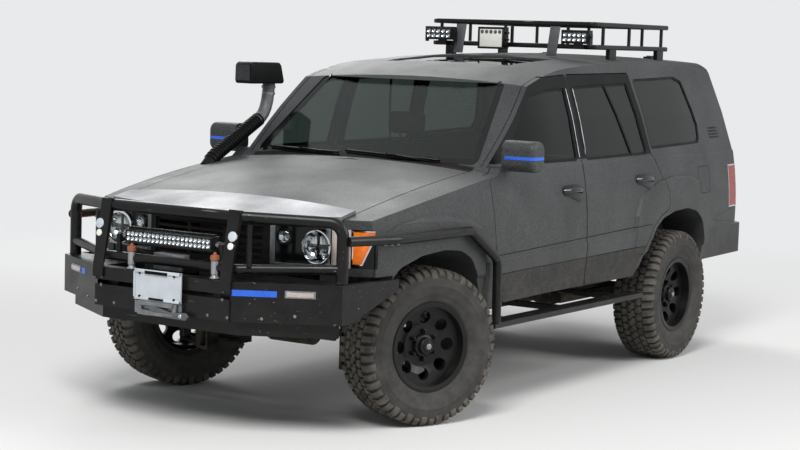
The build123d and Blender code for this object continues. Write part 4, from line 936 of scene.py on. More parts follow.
@dataclass
class Wheel:
    """Tread, nuts and cap of one wheel, made round its axle and put in place.

    Attributes:
        name: Which wheel, such as front_left.
        hand: 1 on the left, -1 on the right.
        station: Station of the steering pivot or axle.
        pivot: Distance of the pivot from the centre plane.
        offset: Distance of the wheel's middle from the pivot.
        steer: Angle that it is parked at, in degrees.
        radius: Outer radius of the tyre.
        bead: Radius of the tyre's inner edge.
        pitches: Tread blocks round the tyre.
    """

    name: str
    hand: int
    station: float
    pivot: float
    offset: float
    steer: float
    radius: float = 410.0
    bead: float = 217.0
    pitches: int = 50

    def matrix(self) -> Matrix:
        """Makes the wheel's axes.

        Returns:
            Matrix from local axes, X outwards along the axle, to the frame.
        """
        turn = math.radians(self.steer)
        out = Vector((self.hand * math.cos(turn), -self.hand * math.sin(turn), 0.0))
        middle = at(self.hand * self.pivot + out.x * self.offset,
                    self.station + out.y * self.offset, self.radius)
        up = Vector((0.0, 0.0, 1.0))
        turned = Matrix((out, up.cross(out), up)).transposed()
        return Matrix.Translation(middle) @ turned.to_4x4()

    def lug(self, shape: Shape, outline: Profile, angle: float, high: float) -> None:
        """Adds one tread block.

        Args:
            shape: Mesh of the tyre.
            outline: Corners as pairs across and round the tread.
            angle: Place round the wheel, in radians.
            high: Radius of its top.
        """
        low = self.radius - 18
        corners = [mm(across, round_, low) for across, round_ in outline]
        verts = shape.prism(corners, mm(0, 0, high - low))
        bmesh.ops.rotate(shape.bm, verts=verts, cent=(0, 0, 0),
                         matrix=Matrix.Rotation(angle, 3, "X"))

    def shoulder(self, shape: Shape, side: int, angle: float, width: float, reach: float) -> None:
        """Adds one shoulder block, which wraps down the sidewall.

        Args:
            shape: Mesh of the tyre.
            side: 1 outside, -1 inside.
            angle: Place round the wheel, in radians.
            width: Length round the tread.
            reach: Radius that it reaches down to.
        """
        top = self.radius
        outline = [(78, top - 18), (76, top - 1), (108, top - 2.5), (124, top - 8),
                   (137, top - 24), (139.5, reach + 8), (138, reach), (130, reach - 1),
                   (118, top - 26)]
        corners = [mm(side * across, -width / 2, up) for across, up in outline]
        verts = shape.prism(corners, mm(0, width, 0))
        for vert in verts:
            lean = 0.10 * (abs(vert.co.x) * 1000 - 76)
            vert.co.y += side * lean / 1000
        bmesh.ops.rotate(shape.bm, verts=verts, cent=(0, 0, 0),
                         matrix=Matrix.Rotation(angle, 3, "X"))

    def tyre(self) -> None:
        """Makes the tyre with its tread, in place of the plain CAD tyre."""
        shape = Shape()
        low, bead = self.radius - 15, self.bead
        rows = [(-90, bead), (-90, bead + 24), (-120, bead + 101), (-112, low - 24),
                (0, low - 20), (112, low - 24), (120, bead + 101), (90, bead + 24), (90, bead),
                (107, bead), (108, bead + 14), (112, bead + 22), (118, bead + 26),
                (122, bead + 36), (129, bead + 52), (130.5, bead + 54), (134, bead + 60),
                (139, bead + 82), (140.5, bead + 100), (141.5, bead + 102), (141.5, bead + 106),
                (140.3, bead + 108), (139, bead + 124), (136, low - 30), (128, low - 12),
                (112, low - 3), (60, low), (0, low + 1)]
        wall = rows + [(-x, r) for x, r in reversed(rows[8:-1])] + [rows[0]]
        shape.lathe(wall, Matrix(), 96)
        shape.paint(0)
        step = math.tau / self.pitches
        centre = [(-3, -20), (20, -23), (25, -8), (16, -4), (22, 12), (6, 19), (-1, 5), (-8, 2)]
        middle = [(36, -21), (62, -24), (68, -7), (60, -1), (66, 15), (44, 20), (38, 7), (30, 3)]
        for number in range(self.pitches):
            width, reach = (30, 40) if number % 2 else (34, 52)
            for side in (-1, 1):
                phase = number * step + (0.25 if side > 0 else 0.75) * step
                for outline, lead, gap in ((centre, 0.0, 0.3), (middle, 0.5, 0.8)):
                    self.lug(shape, [(side * x, side * t) for x, t in outline],
                             phase + lead * step, self.radius - gap)
                self.shoulder(shape, side, phase, width, self.radius - reach)
        shape.paint(1)
        shape.soften(1.2, 50.0, 1)
        bmesh.ops.transform(shape.bm, matrix=self.matrix(), verts=shape.bm.verts)
        made = shape.piece("tread_" + self.name, "tyre_rubber", RUBBER, TREAD,
                           body="wheel_" + self.name)
        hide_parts("tyre_" + self.name)

    def hub(self) -> None:
        """Makes the nuts, the hub cover and the valve."""
        shape = Shape()
        shape.lathe([(38, TIP), (38, 62), (50, 61), (58, 56), (60, 46), (84, 43), (88, 38),
                     (88, 30), (94, 28), (96, TIP)], Matrix())
        shape.paint(0)
        shape.lathe([(95, TIP), (95, 17), (100, 15), (101, TIP)], Matrix(), 20)
        shape.paint(1)
        for number in range(6):
            angle = math.radians(60 * number + 30)
            middle = Vector((0, math.cos(angle), math.sin(angle))) * 0.0745
            shape.rod(middle + mm(34, 0, 0), middle + mm(56, 0, 0), 12.5, sides=6)
            shape.rod(middle + mm(56, 0, 0), middle + mm(66, 0, 0), 9.5, 7, 12)
        shape.paint(2)
        shape.run([mm(30, 0, 178), mm(48, 0, 176), mm(58, 0, 170)], 4.5, 8)
        shape.paint(1)
        shape.soften(1.2, 45.0)
        bmesh.ops.transform(shape.bm, matrix=self.matrix(), verts=shape.bm.verts)
        shape.piece("hub_" + self.name, "alloy", WHEEL_BLACK, STEEL, GLOSS_BLACK,
                    body="wheel_" + self.name)

    def build(self) -> None:
        """Makes tyre and hub."""
        self.tyre()
        self.hub()


@dataclass
class GlassTrim:
    """Seals round the windows and the screen's border.

    Attributes:
        seal: Width of the side windows' seals.
    """

    seal: float = 16.0

    def build(self) -> None:
        """Makes all of it."""
        for door in DOORS:
            for hand, name in SIDES:
                pane = f"{door}glass_{name}"
                (Skin(pane, Vector((hand, 0, 0.2)), 0.5).border(self.seal).lift(4, 3.5)
                 .piece("seal_" + pane, "trim_black", SEAL, body=door + name))
        for hand, name in SIDES:
            (Skin("fixed_glass", Vector((hand, 0, 0.2)), 0.7)
             .within(mirrored(hand, 300, 2000), (2300, 3400), (1300, 1850))
             .border(self.seal).lift(4, 3.5).piece("seal_quarter_" + name, "trim_black", SEAL))
        (Skin("liftgate_glass", Vector((0, 1, 0.4)), 0.5).border(30).lift(4, 3.5)
         .piece("seal_liftgate", "trim_black", SEAL, body="upper_gate"))
        (Skin("fixed_glass", Vector((0, -1, 1)), 0.6)
         .within((-800, 800), (500, 1200), (1250, 1820))
         .border(42).lift(1.2, 1.0).piece("screen_border", "trim_black", GLOSS_BLACK))


@dataclass
class Lamps:
    """Headlamps, inner lamps, corner lamps and their frames, on both sides.

    Attributes:
        main: x and height of the main lamp.
        inner: x and height of the high beam.
        radius: Radius of the main lamp.
    """

    main: Pair = (637.0, 952.0)
    inner: Pair = (462.0, 990.0)
    radius: float = 85.5

    def main_lamp(self, shape: Shape, glass: Shape, hand: int) -> None:
        """Adds the round main lamp.

        Args:
            shape: Mesh of the solid parts: chrome 0, black 1, white 2.
            glass: Mesh of the glass.
            hand: 1 on the left, -1 on the right.
        """
        x, z = hand * self.main[0], self.main[1]
        axes = forwards(at(x, -662, z))
        big = self.radius
        shape.lathe([(1, TIP), (2, 30), (10, 52), (24, 68), (42, big - 10), (42, big),
                     (50, big + 0.5), (55, big - 3), (55, big - 9), (48, big - 12), (30, 64),
                     (13, 46), (5, 26), (4, TIP)], axes, 48)
        shape.paint(0)
        shape.slabs(-696, -668, (x - 66, x + 66, z - 5, z + 5))
        shape.slabs(-694, -668, (x - 4, x + 4, z - 62, z + 66))
        shape.paint(1)
        for side in (-1, 1):
            shape.lathe([(0, TIP), (0, 20), (18, 24), (21, 22), (12, 16), (9, TIP)],
                        forwards(at(x + side * 30, -668, z - 32)), 20)
            shape.paint(0)
            for step in range(3):
                spot = x + side * (16 + 17 * step)
                shape.slabs(-690 + 3 * step, -672, (spot - 6, spot + 6, z + 14, z + 52 - 9 * step))
            shape.paint(2)
        glass.lathe([(60, TIP), (59, 30), (56, 55), (51, big - 10), (48, big - 10), (53, 54),
                     (56.5, 29), (57.5, TIP)], axes, 48)

    def inner_lamp(self, shape: Shape, glass: Shape, hand: int) -> None:
        """Adds the small high beam, with its black ring.

        Args:
            shape: Mesh of the solid parts.
            glass: Mesh of the glass.
            hand: 1 on the left, -1 on the right.
        """
        spot = at(hand * self.inner[0], -1000, self.inner[1])
        axes = Surface("headlamps").seat(spot, REARWARDS)
        shape.lathe([(0, TIP), (0, 43), (8, 44), (14, 41), (14, 35), (4, 26), (2, TIP)], axes)
        shape.paint(1)
        shape.lathe([(4, TIP), (6, 18), (12, 27), (13, 26), (8, 14), (7, TIP)], axes, 24)
        shape.paint(0)
        glass.lathe([(24, TIP), (22, 16), (16, 30), (13, 35), (12, 34), (15, 29), (20, 15),
                     (22, TIP)], axes)

    def frames(self, hand: int, name: str) -> None:
        """Makes the frame strips, the side lamp and the corner lamp of one side.

        Args:
            hand: 1 on the left, -1 on the right.
            name: left or right.
        """
        table = [("frame_inner", (386, 412), (852, 1044), 4, FRAME_GREY, "trim_black"),
                 ("frame_low", (412, 662), (852, 862), 4, STEEL, "steel"),
                 ("frame_outer", (664, 688), (852, 1044), 4, STEEL, "steel"),
                 ("side_lamp", (694, 782), (850, 1043), 5, CLEAR_LENS, "clear_lens")]
        for label, x, height, lift, finish, slot in table:
            (Skin("headlamps", Vector((0.25 * hand, -1, 0)), 0.35)
             .within(mirrored(hand, *x), (-900, -560), height)
             .lift(lift, lift - 0.5).soften(1, 60.0, 1).piece(f"{label}_{name}", slot, finish))
        for label, border, lift, finish, slot in (
                ("corner_lens", 0, 4, AMBER_LENS, "clear_lens"),
                ("corner_edge", 6, 6, CHROME, "alloy")):
            skin = Skin("headlamps", Vector((0.8 * hand, -1, 0)), 0.3)
            skin.within(mirrored(hand, 788, 900), (-900, -552), (868, 1040))
            skin.cut(at(hand * 858, 0, 925), Vector((0.93 * hand, 0.0, -0.37)))
            if border:
                skin.border(border)
            skin.lift(lift, lift - 0.5).piece(f"{label}_{name}", slot, finish)

    def build(self) -> None:
        """Makes the lamps of both sides."""
        solid, glass = Shape(), Shape()
        for hand, name in SIDES:
            self.main_lamp(solid, glass, hand)
            self.inner_lamp(solid, glass, hand)
            self.frames(hand, name)
        made = solid.piece("headlamp_inserts", "alloy", CHROME, GLOSS_BLACK, LED_WHITE)
        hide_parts("headlamp_lenses")
        glass.piece("headlamp_glass", "clear_lens", LAMP_GLASS)


@dataclass
class LightCells:
    """One row or block of light emitting cells in front of a lamp's box.

    Attributes:
        name: Name of the piece.
        low: Lowest x, station of the front face and lowest height of the cell field.
        high: Highest x and highest height of the field.
        columns: Cells across.
        rows: Cells up.
        proud: Depth of the frame in front of the face.
        rim: Width of the frame.
    """

    name: str
    low: tuple[float, float, float]
    high: Pair
    columns: int
    rows: int
    proud: float = 9.0
    rim: float = 7.0

    def build(self) -> None:
        """Makes the frame, the cups with their emitters, and the cover."""
        x0, face, z0 = self.low
        x1, z1 = self.high
        wide, tall = (x1 - x0) / self.columns, (z1 - z0) / self.rows
        size = 0.48 * min(wide, tall)
        shape, glass = Shape(), Shape()
        front, rim = face - self.proud, self.rim
        shape.slabs(front, face, (x0 - rim, x1 + rim, z0 - rim, z0),
                    (x0 - rim, x1 + rim, z1, z1 + rim), (x0 - rim, x0, z0, z1),
                    (x1, x1 + rim, z0, z1))
        shape.soften(1.2, 45.0)
        shape.paint(0)
        for across in range(self.columns):
            for up in range(self.rows):
                axes = forwards(at(x0 + (across + 0.5) * wide, face, z0 + (up + 0.5) * tall))
                shape.lathe([(0.3, TIP), (0.6, size * 0.4), (6.5, size), (7.5, size * 0.97),
                             (1.5, size * 0.36), (1.2, TIP)], axes, 14)
                shape.paint(1)
                shape.lathe([(1.3, TIP), (1.3, size * 0.33), (3.5, size * 0.28), (4.2, TIP)],
                            axes, 10)
                shape.paint(2)
        glass.slabs(front + 1.6, front + 0.4, (x0, x1, z0, z1))
        shape.piece(self.name + "_cells", "black_paint", POWDER_BLACK, CHROME, LED_WHITE)
        glass.piece(self.name + "_cover", "clear_lens", LAMP_GLASS)


@dataclass
class LightBar:
    """Cells, cooling fins and end mounts of the light bar behind the hoop.

    Attributes:
        fins: Cooling fins along it.
        pitch: Distance from fin to fin.
    """

    fins: int = 36
    pitch: float = 15.2

    def build(self) -> None:
        """Makes the light bar's details."""
        LightCells("light_bar", (-268, -1070, 936), (268, 985), 20, 2).build()
        shape = Shape()
        for number in range(self.fins):
            x = -266 + number * self.pitch
            shape.slabs(-1062, -1026, (x - 2.2, x + 2.2, 996, 1006), (x - 2.2, x + 2.2, 916, 924))
        shape.paint(0)
        for hand in (-1, 1):
            x = hand * 296
            for start, end, radius, sides in ((x - 10, x + 10, 17, 18),
                                              (x + hand * 10, x + hand * 22, 10, 6),
                                              (x + hand * 22, x + hand * 46, 6, 12)):
                shape.rod(at(start, -1046, 958), at(end, -1046, 958), radius, sides=sides)
        shape.paint(1)
        shape.soften(0.8, 50.0, 1)
        shape.piece("light_bar_fins", "black_paint", POWDER_BLACK, STEEL)


@dataclass
class BarTrim:
    """Discs, isolators, stripes, side markers, bolts and upright tubes of the front bumper."""

    def isolators(self) -> None:
        """Makes the two battery isolators standing on the bar's top, and the control boxes."""
        shape = Shape()
        for x in (-224, 306):
            foot = upwards(at(x, -1086, 797))
            shape.lathe([(0, TIP), (0, 24), (8, 24), (12, 16), (20, 16), (24, 19), (88, 19),
                         (90, 15), (94, TIP)], foot, 24)
            shape.paint(0)
            shape.lathe([(88, TIP), (88, 22), (94, 24), (112, 23), (116, 18), (117, 9),
                         (128, 8), (130, TIP)], foot, 24)
            shape.paint(1)
        shape.slabs(-1012, -948, (-146, 37, 797.5, 880))
        shape.slabs(-1016, -1011, (-130, 20, 812, 866))
        shape.soften(4, 60.0, 3)
        shape.paint(2)
        shape.slabs(-1006, -956, (44, 96, 797.5, 858))
        shape.soften(3, 60.0)
        for cable in (((-230, -1080, 905), (-190, -1060, 893), (-150, -1040, 870),
                       (-120, -1016, 856)),
                      ((300, -1080, 905), (220, -1050, 876), (120, -1020, 858),
                       (70, -1006, 846))):
            shape.run([at(*spot) for spot in cable], 4, 10)
        shape.paint(3)
        shape.piece("bar_isolators", "steel", LIGHT_METAL, ORANGE, LIGHT_METAL, TRIM_BLACK)

    def straps(self) -> None:
        """Makes the discs on the hoop's straps."""
        shape = Shape()
        turn = Vector((0, -0.984, 0.176)).to_track_quat("X", "Z").to_matrix().to_4x4()
        surface = Surface("bull_bar_hoops")
        for hand in (-1, 1):
            for x, z, radius, number in ((424, 1012, 25, 0), (420, 965, 17, 1)):
                seat = surface.seat(at(hand * x - 6, -1300, z), REARWARDS)
                shape.lathe([(-4, TIP), (-4, radius), (4, radius), (6, radius - 3),
                             (5.5, radius - 8), (6.5, radius - 10), (6.5, TIP)],
                            Matrix.Translation(seat.translation) @ turn)
                shape.paint(number)
        shape.piece("strap_discs", "plate_grey", PLATE, LED_WHITE)

    def stripes(self) -> None:
        """Makes the blue stripes and the side markers on the bumper's wings."""
        for hand, name in SIDES:
            stripe = (431, 622) if hand > 0 else (-700, -600)
            for label, x, height, lift, wall, slot, finish in (
                    ("bumper_stripe_", stripe, (728, 758), 0.8, 0.5, "black_paint", BLUE_TAPE),
                    ("marker_base_", mirrored(hand, 656, 786), (727, 763), 3, 2.5, "steel", STEEL),
                    ("marker_lens_", mirrored(hand, 664, 778), (734, 756), 8, 5, "clear_lens",
                     CLEAR_LENS)):
                skin = Skin("bull_bar", Vector((0.5 * hand, -1, 0)), 0.6)
                skin.within(x, (-1300, -500), height).lift(lift, wall)
                if finish is CLEAR_LENS:
                    skin.soften(2, 60.0)
                skin.piece(label + name, slot, finish)

    def bolts(self) -> None:
        """Makes the bolts on the bumper's faces and the rail's front end."""
        shape = Shape()
        bar, rails = Surface("bull_bar"), Surface("side_rails")
        for hand in (-1, 1):
            for x, z in ((300, 622), (420, 622), (560, 622), (388, 748), (388, 706), (700, 640)):
                shape.lathe([(0, TIP), (0, 8), (1.5, 8), (1.5, 6), (5, 5.5), (5.5, TIP)],
                            bar.seat(at(hand * x, -1400, z), REARWARDS), 12)
            for station in (-560, -520, -480):
                shape.lathe([(0, TIP), (0, 9), (3, 8), (4.5, 4), (5, TIP)],
                            rails.seat(*beside(hand, station, 976)), 12)
        shape.piece("bumper_bolts", "steel", STEEL)

    def tubes(self) -> None:
        """Makes the upright tubes between the hoop's top and low tube."""
        shape = Shape()
        for x in (-484, 484):
            shape.run([at(x, -1046, 868), at(x, -1046, 1070)], 14, 16)
        shape.piece("hoop_uprights", "black_paint", POWDER_BLACK)

    def build(self) -> None:
        """Makes all of it."""
        for make in (self.isolators, self.straps, self.stripes, self.bolts, self.tubes):
            make()


@dataclass
class PlateAndWinch:
    """Blank plate in its frame, fairlead hook and the rope on the drum.

    Attributes:
        half: Half width of the plate's frame.
        low: Height of its lower edge.
        high: Height of its upper edge.
        face: Station of the plate's face.
        turns: Turns of rope on the drum.
    """

    half: float = 152.0
    low: float = 661.0
    high: float = 813.0
    face: float = -1150.0
    turns: int = 19

    def plate(self) -> None:
        """Makes the frame round the plate, its dark fillets and its screws."""
        shape = Shape()
        half, low, high, deep = self.half, self.low, self.high, self.face - 5.5
        shape.slabs(deep, self.face, (-half, half, low, low + 15), (-half, half, high - 17, high),
                    (-half, -half + 11, low, high), (half - 11, half, low, high))
        shape.soften(2.5, 45.0)
        shape.paint(0)
        shape.slabs(deep - 1.5, deep + 1, (-78, 66, high - 21, high - 5),
                    (-52, 44, low + 3, low + 15))
        shape.soften(0.8, 60.0, 1)
        shape.paint(1)
        for x in (-112, 108):
            for z in (low + 17, high - 20):
                shape.rod(at(x, self.face, z), at(x, deep - 1, z), 6.5, 5.5, 12)
        shape.paint(2)
        shape.piece("plate_frame", "plate_grey", PLATE, SEAL, TRIM_BLACK)

    def hook(self) -> None:
        """Makes the flat rope hook that lies under the plate."""
        shape = Shape()
        outline = [(-60, 640), (-34, 612), (66, 588), (186, 586), (206, 606), (186, 622),
                   (92, 616), (10, 634), (-36, 652)]
        shape.prism([at(x, -1165, z) for x, z in outline], mm(0, 18, 0))
        shape.soften(4, 40.0, 3)
        shape.paint(0)
        shape.rod(at(158, -1165.8, 604), at(158, -1146, 604), 10, sides=16)
        shape.paint(1)
        shape.soften(1, 70.0, 1)
        shape.piece("winch_hook", "steel", FRAME_GREY, CHROME)

    def rope(self) -> None:
        """Makes the turns of rope on the drum."""
        shape = Shape()
        profile = [(-117, 40)]
        for turn in range(self.turns):
            start = -116.5 + turn * 12.26
            profile += [(start + 1, 47.5), (start + 3.5, 50.5), (start + 8.8, 50.5),
                        (start + 11.3, 47.5)]
        shape.lathe(profile + [(117, 40)], Matrix.Translation(at(0, -930, 690)), 28)
        shape.piece("winch_rope", "steel", ROPE)

    def build(self) -> None:
        """Makes all of it."""
        for make in (self.plate, self.hook, self.rope):
            make()


@dataclass
class DoorTrim:
    """Black window frames, handles, mirror glass and stripes of the doors."""

    def frames(self, hand: int, name: str) -> None:
        """Makes the black frames above the belt and the glass divider of one side.

        Args:
            hand: 1 on the left, -1 on the right.
            name: left or right.
        """
        for door in DOORS:
            (Skin(door + name, Vector((hand, 0, 0.25)), 0.45)
             .within(mirrored(hand, 300, 911), (600, 2600), (1324, 1830)).lift(1.2, 0.9)
             .piece(f"frame_{door}{name}", "trim_black", TRIM_BLACK, body=door + name))
        (Skin("rear_door_glass_" + name, Vector((hand, 0, 0.2)), 0.5)
         .band((2047, 1738), (2230, 1329), 19).lift(6, 5.5)
         .piece("divider_" + name, "trim_black", SEAL, body="rear_door_" + name))

    def lip(self, door: str, name: str, hand: int, station: float) -> None:
        """Makes the thin bright lip beside the middle pillar.

        Args:
            door: front_door_ or rear_door_.
            name: left or right.
            hand: 1 on the left, -1 on the right.
            station: Station of its upper end.
        """
        surface = Surface(f"{door}glass_{name}", door + name)
        shape = Shape()
        line = [surface.hit(*beside(hand, *spot))[0] + mm(hand * 4.5, 0, 0)
                for spot in evenly((station, 1725), (station + 2, 1334), 8)]
        shape.run(line, 2.6, 8)
        shape.piece(f"lip_{door}{name}", "steel", STEEL, body=door + name)

    def handle(self, door: str, name: str, hand: int, spot: Pair) -> None:
        """Makes one door handle with its dark recess and lock.

        Args:
            door: front_door_ or rear_door_.
            name: left or right.
            hand: 1 on the left, -1 on the right.
            spot: Station and height of its middle.
        """
        seat = Surface(door + name).seat(*beside(hand, *spot))
        shape = Shape()
        outline = [(-128, 22), (-112, 37), (20, 42), (86, 36), (122, 16), (128, -12), (112, -44),
                   (88, -60), (60, -62), (20, -50), (-40, -30), (-100, -22), (-124, -8)]
        corners = [seat @ mm(-4, hand * y, z) for y, z in outline]
        shape.prism(corners, seat.to_3x3() @ mm(7.5, 0, 0))
        shape.soften(3, 50.0, 3)
        shape.paint(0)
        bar = [(-112, 4, 4), (-106, 18, 5), (-86, 28, 6), (-30, 34, 6), (30, 34, 5), (78, 27, 3),
               (94, 16, 1), (98, 4, 0)]
        before = set(shape.bm.verts)
        shape.run([mm(out, hand * y, z) for y, out, z in bar], 9.5, 16)
        fresh = [v for v in shape.bm.verts if v not in before]
        bmesh.ops.scale(shape.bm, vec=(0.9, 1.0, 1.45), verts=fresh)
        bmesh.ops.transform(shape.bm, matrix=seat, verts=fresh)
        shape.lathe([(0, TIP), (0, 13), (3, 12.5), (4, 9), (4.2, TIP)],
                    seat @ Matrix.Translation(mm(3, hand * 108, -4)), 20)
        shape.paint(1)
        # The grip and lock are chrome darkened into a painted reflection of dark surroundings
        shape.piece(f"handle_{door}{name}", "alloy", GLOSS_BLACK, DARK_REFLECTION_CHROME,
                    body=door + name)

    def mirror(self, hand: int, name: str) -> None:
        """Makes the blue stripe round one mirror and its glass.

        Args:
            hand: 1 on the left, -1 on the right.
            name: left or right.
        """
        door = "front_door_" + name
        (Skin(door, Vector((hand, -1.2, 0)), 0.15)
         .within(mirrored(hand, 930, 1200), (560, 736), (1358, 1375)).lift(0.4, 0.3)
         .piece("mirror_stripe_" + name, "black_paint", BLUE_TAPE, body=door))
        (Skin(door, Vector((0, 1, 0)), 0.9)
         .within(mirrored(hand, 946, 1090), (700, 760), (1304, 1446)).lift(1.5, 1)
         .piece("mirror_glass_" + name, "alloy", CHROME, body=door))

    def build(self) -> None:
        """Makes all of it."""
        for hand, name in SIDES:
            self.frames(hand, name)
        for hand, name in SIDES:
            for door, station in zip(DOORS, (1536, 1622)):
                self.lip(door, name, hand, station)
        for hand, name in SIDES:
            for door, spot in zip(DOORS, ((1412, 1142), (2352, 1166))):
                self.handle(door, name, hand, spot)
        for hand, name in SIDES:
            self.mirror(hand, name)


@dataclass
class BodyTrim:
    """Fuel flap, vent slats, moulding lines, painted crease shadows, darker sills and lamp edges of
    the body.
    """

    def side(self, hand: int, name: str) -> None:
        """Makes the trim of one side.

        Args:
            hand: 1 on the left, -1 on the right.
            name: left or right.
        """
        for number in range(4):
            rise = 1394 + 20 * number
            (Skin("body_side_" + name, Vector((hand, 0, 0.2)), 0.4)
             .within(station=(3432 - 4 * number, 3612 - 8 * number), height=(rise, rise + 11))
             .lift(1.2, 0.9).piece(f"vent_slat_{name}_{number}", "trim_black", SEAL))
        for door in DOORS:
            # The crease band is a painted shadow line along the crease at the moulding's top; the
            # other band follows the line where the sill paint starts
            for title, start, end in (("moulding_line_", 735, 761), ("crease_shadow_", 838, 890)):
                (Skin(door + name, Vector((hand, 0, 0)), 0.6).within(station=(560, 2420))
                 .band((590, start), (2364, end), 5).lift(0.7, 0.5)
                 .piece(f"{title}{door}{name}", "trim_black", SEAL, body=door + name))
        for door in DOORS:
            (Skin(door + name, Vector((hand, 0, 0)), 0.5)
             .cut(at(0, 590, 735), Vector((0, -0.01466, 1))).lift(0.6, 0.4)
             .piece(f"sill_{door}{name}", "body_paint", SILL_PAINT, body=door + name))
        (Skin("tail_lamps", Vector((hand, 0, 0)), 0.6).within(mirrored(hand, 700, 1000))
         .border(9).lift(2, 1.5).piece("tail_lamp_edge_" + name, "alloy", CHROME))

    def build(self) -> None:
        """Makes the flap and the trim of both sides."""
        (Skin("body_side_left", Vector((1, 0, 0.1)), 0.6)
         .within((700, 1000), (3146, 3334), (1047, 1219))
         .border(4).lift(0.6, 0.4).piece("fuel_flap_gap", "trim_black", SEAL))
        for hand, name in SIDES:
            self.side(hand, name)


@dataclass
class Wipers:
    """Arms and blades of the two wipers, parked at the foot of the screen.

    Attributes:
        parts: Parts that each blade's line is made of.
        gap: Distance of the blade from the glass, in metres.
    """

    parts: int = 12
    gap: float = 0.012

    def build(self) -> None:
        """Makes both wipers along the screen."""
        surface = Surface("fixed_glass")
        shape = Shape()
        under = Vector((0, -0.55, 1)).normalized() * 0.004
        half = self.parts // 2
        for start, end in (((-658, 1331), (-151, 1324)), ((-111, 1338), (524, 1316))):
            line = []
            for x, z in evenly(start, end, self.parts):
                point, normal = surface.hit(at(x, -200, z), REARWARDS)
                line.append(point - normal * self.gap * (1 if normal.y > 0 else -1))
            shape.run(line, 6.5, 10)
            for number, (near, far) in enumerate(zip(line, line[1:])):
                shape.rod(near - under, far - under, 4, sides=6)
                if number in (half - 1, half):
                    middle = (near + far) / 2
                    shape.rod(middle, middle + mm(0, -12, 6), 9, sides=12)
            arm = ((0, -10, 6), (100, -10, -4), (220, -6, -16), (300, -2, -24))
            shape.run([line[half] + mm(*away) for away in arm], 6, 10)
        shape.piece("wipers", "trim_black", SEAL)


@dataclass
class RoofKit:
    """Cells of the rack's lamps, the square work lamp and the plates on the rack's front."""

    def spot(self) -> None:
        """Makes the square work lamp with its frosted cover."""
        shape = Shape()
        x0, x1, z0, z1, face = -190, 0, 1940, 2078, 2160
        shape.slabs(face - 14, face, (x0, x1, z0, z0 + 13), (x0, x1, z1 - 13, z1),
                    (x0, x0 + 13, z0 + 12, z1 - 12), (x1 - 13, x1, z0 + 12, z1 - 12))
        shape.soften(5, 45.0, 3)
        shape.paint(0)
        shape.slabs(face - 8, face, (x0 + 13, x1 - 13, z0 + 13, z1 - 13))
        shape.soften(2, 70.0)
        shape.paint(1)
        for number in range(5):
            shape.lathe([(0, TIP), (0, 12), (2.5, 11.5), (3, TIP)],
                        forwards(at(x0 + 31 + number * 32, face - 8, z1 - 31)), 16)
        shape.paint(2)
        for z in (1958, 2000, 2042):
            shape.slabs(face + 8, face + 40, (x1 + 1, x1 + 12, z - 7, z + 7))
        shape.paint(0)
        shape.piece("spot_lamp_front", "black_paint", GLOSS_BLACK, LED_WHITE, FRAME_GREY)

    def plates(self) -> None:
        """Makes the flat brackets between the rack's front tubes and the pods' cheeks."""
        shape = Shape()
        for x0, x1, top in ((-420, -352, 26), (262, 332, 24)):
            shape.prism([at(x0, 2232, 1908), at(x1, 2232, 1908), at(x1 + top, 2232, 2092),
                         at(x0 + top, 2232, 2092)], mm(0, 6, 0))
        shape.soften(1.5, 45.0)
        shape.paint(0)
        for x in (-592, -382, 402, 598):
            shape.slabs(2168, 2206, (x - 2.5, x + 2.5, 1976, 2050))
            shape.rod(at(x - 7, 2187, 2030), at(x + 7, 2187, 2030), 9, sides=12)
        shape.soften(1, 45.0, 1)
        shape.paint(1)
        shape.piece("rack_plates", "black_paint", FRAME_GREY, POWDER_BLACK)

    def build(self) -> None:
        """Makes all of it."""
        LightCells("pod_right", (-577, 2160, 2001), (-397, 2059), 5, 2).build()
        LightCells("pod_left", (417, 2160, 2001), (583, 2059), 5, 2).build()
        self.spot()
        self.plates()


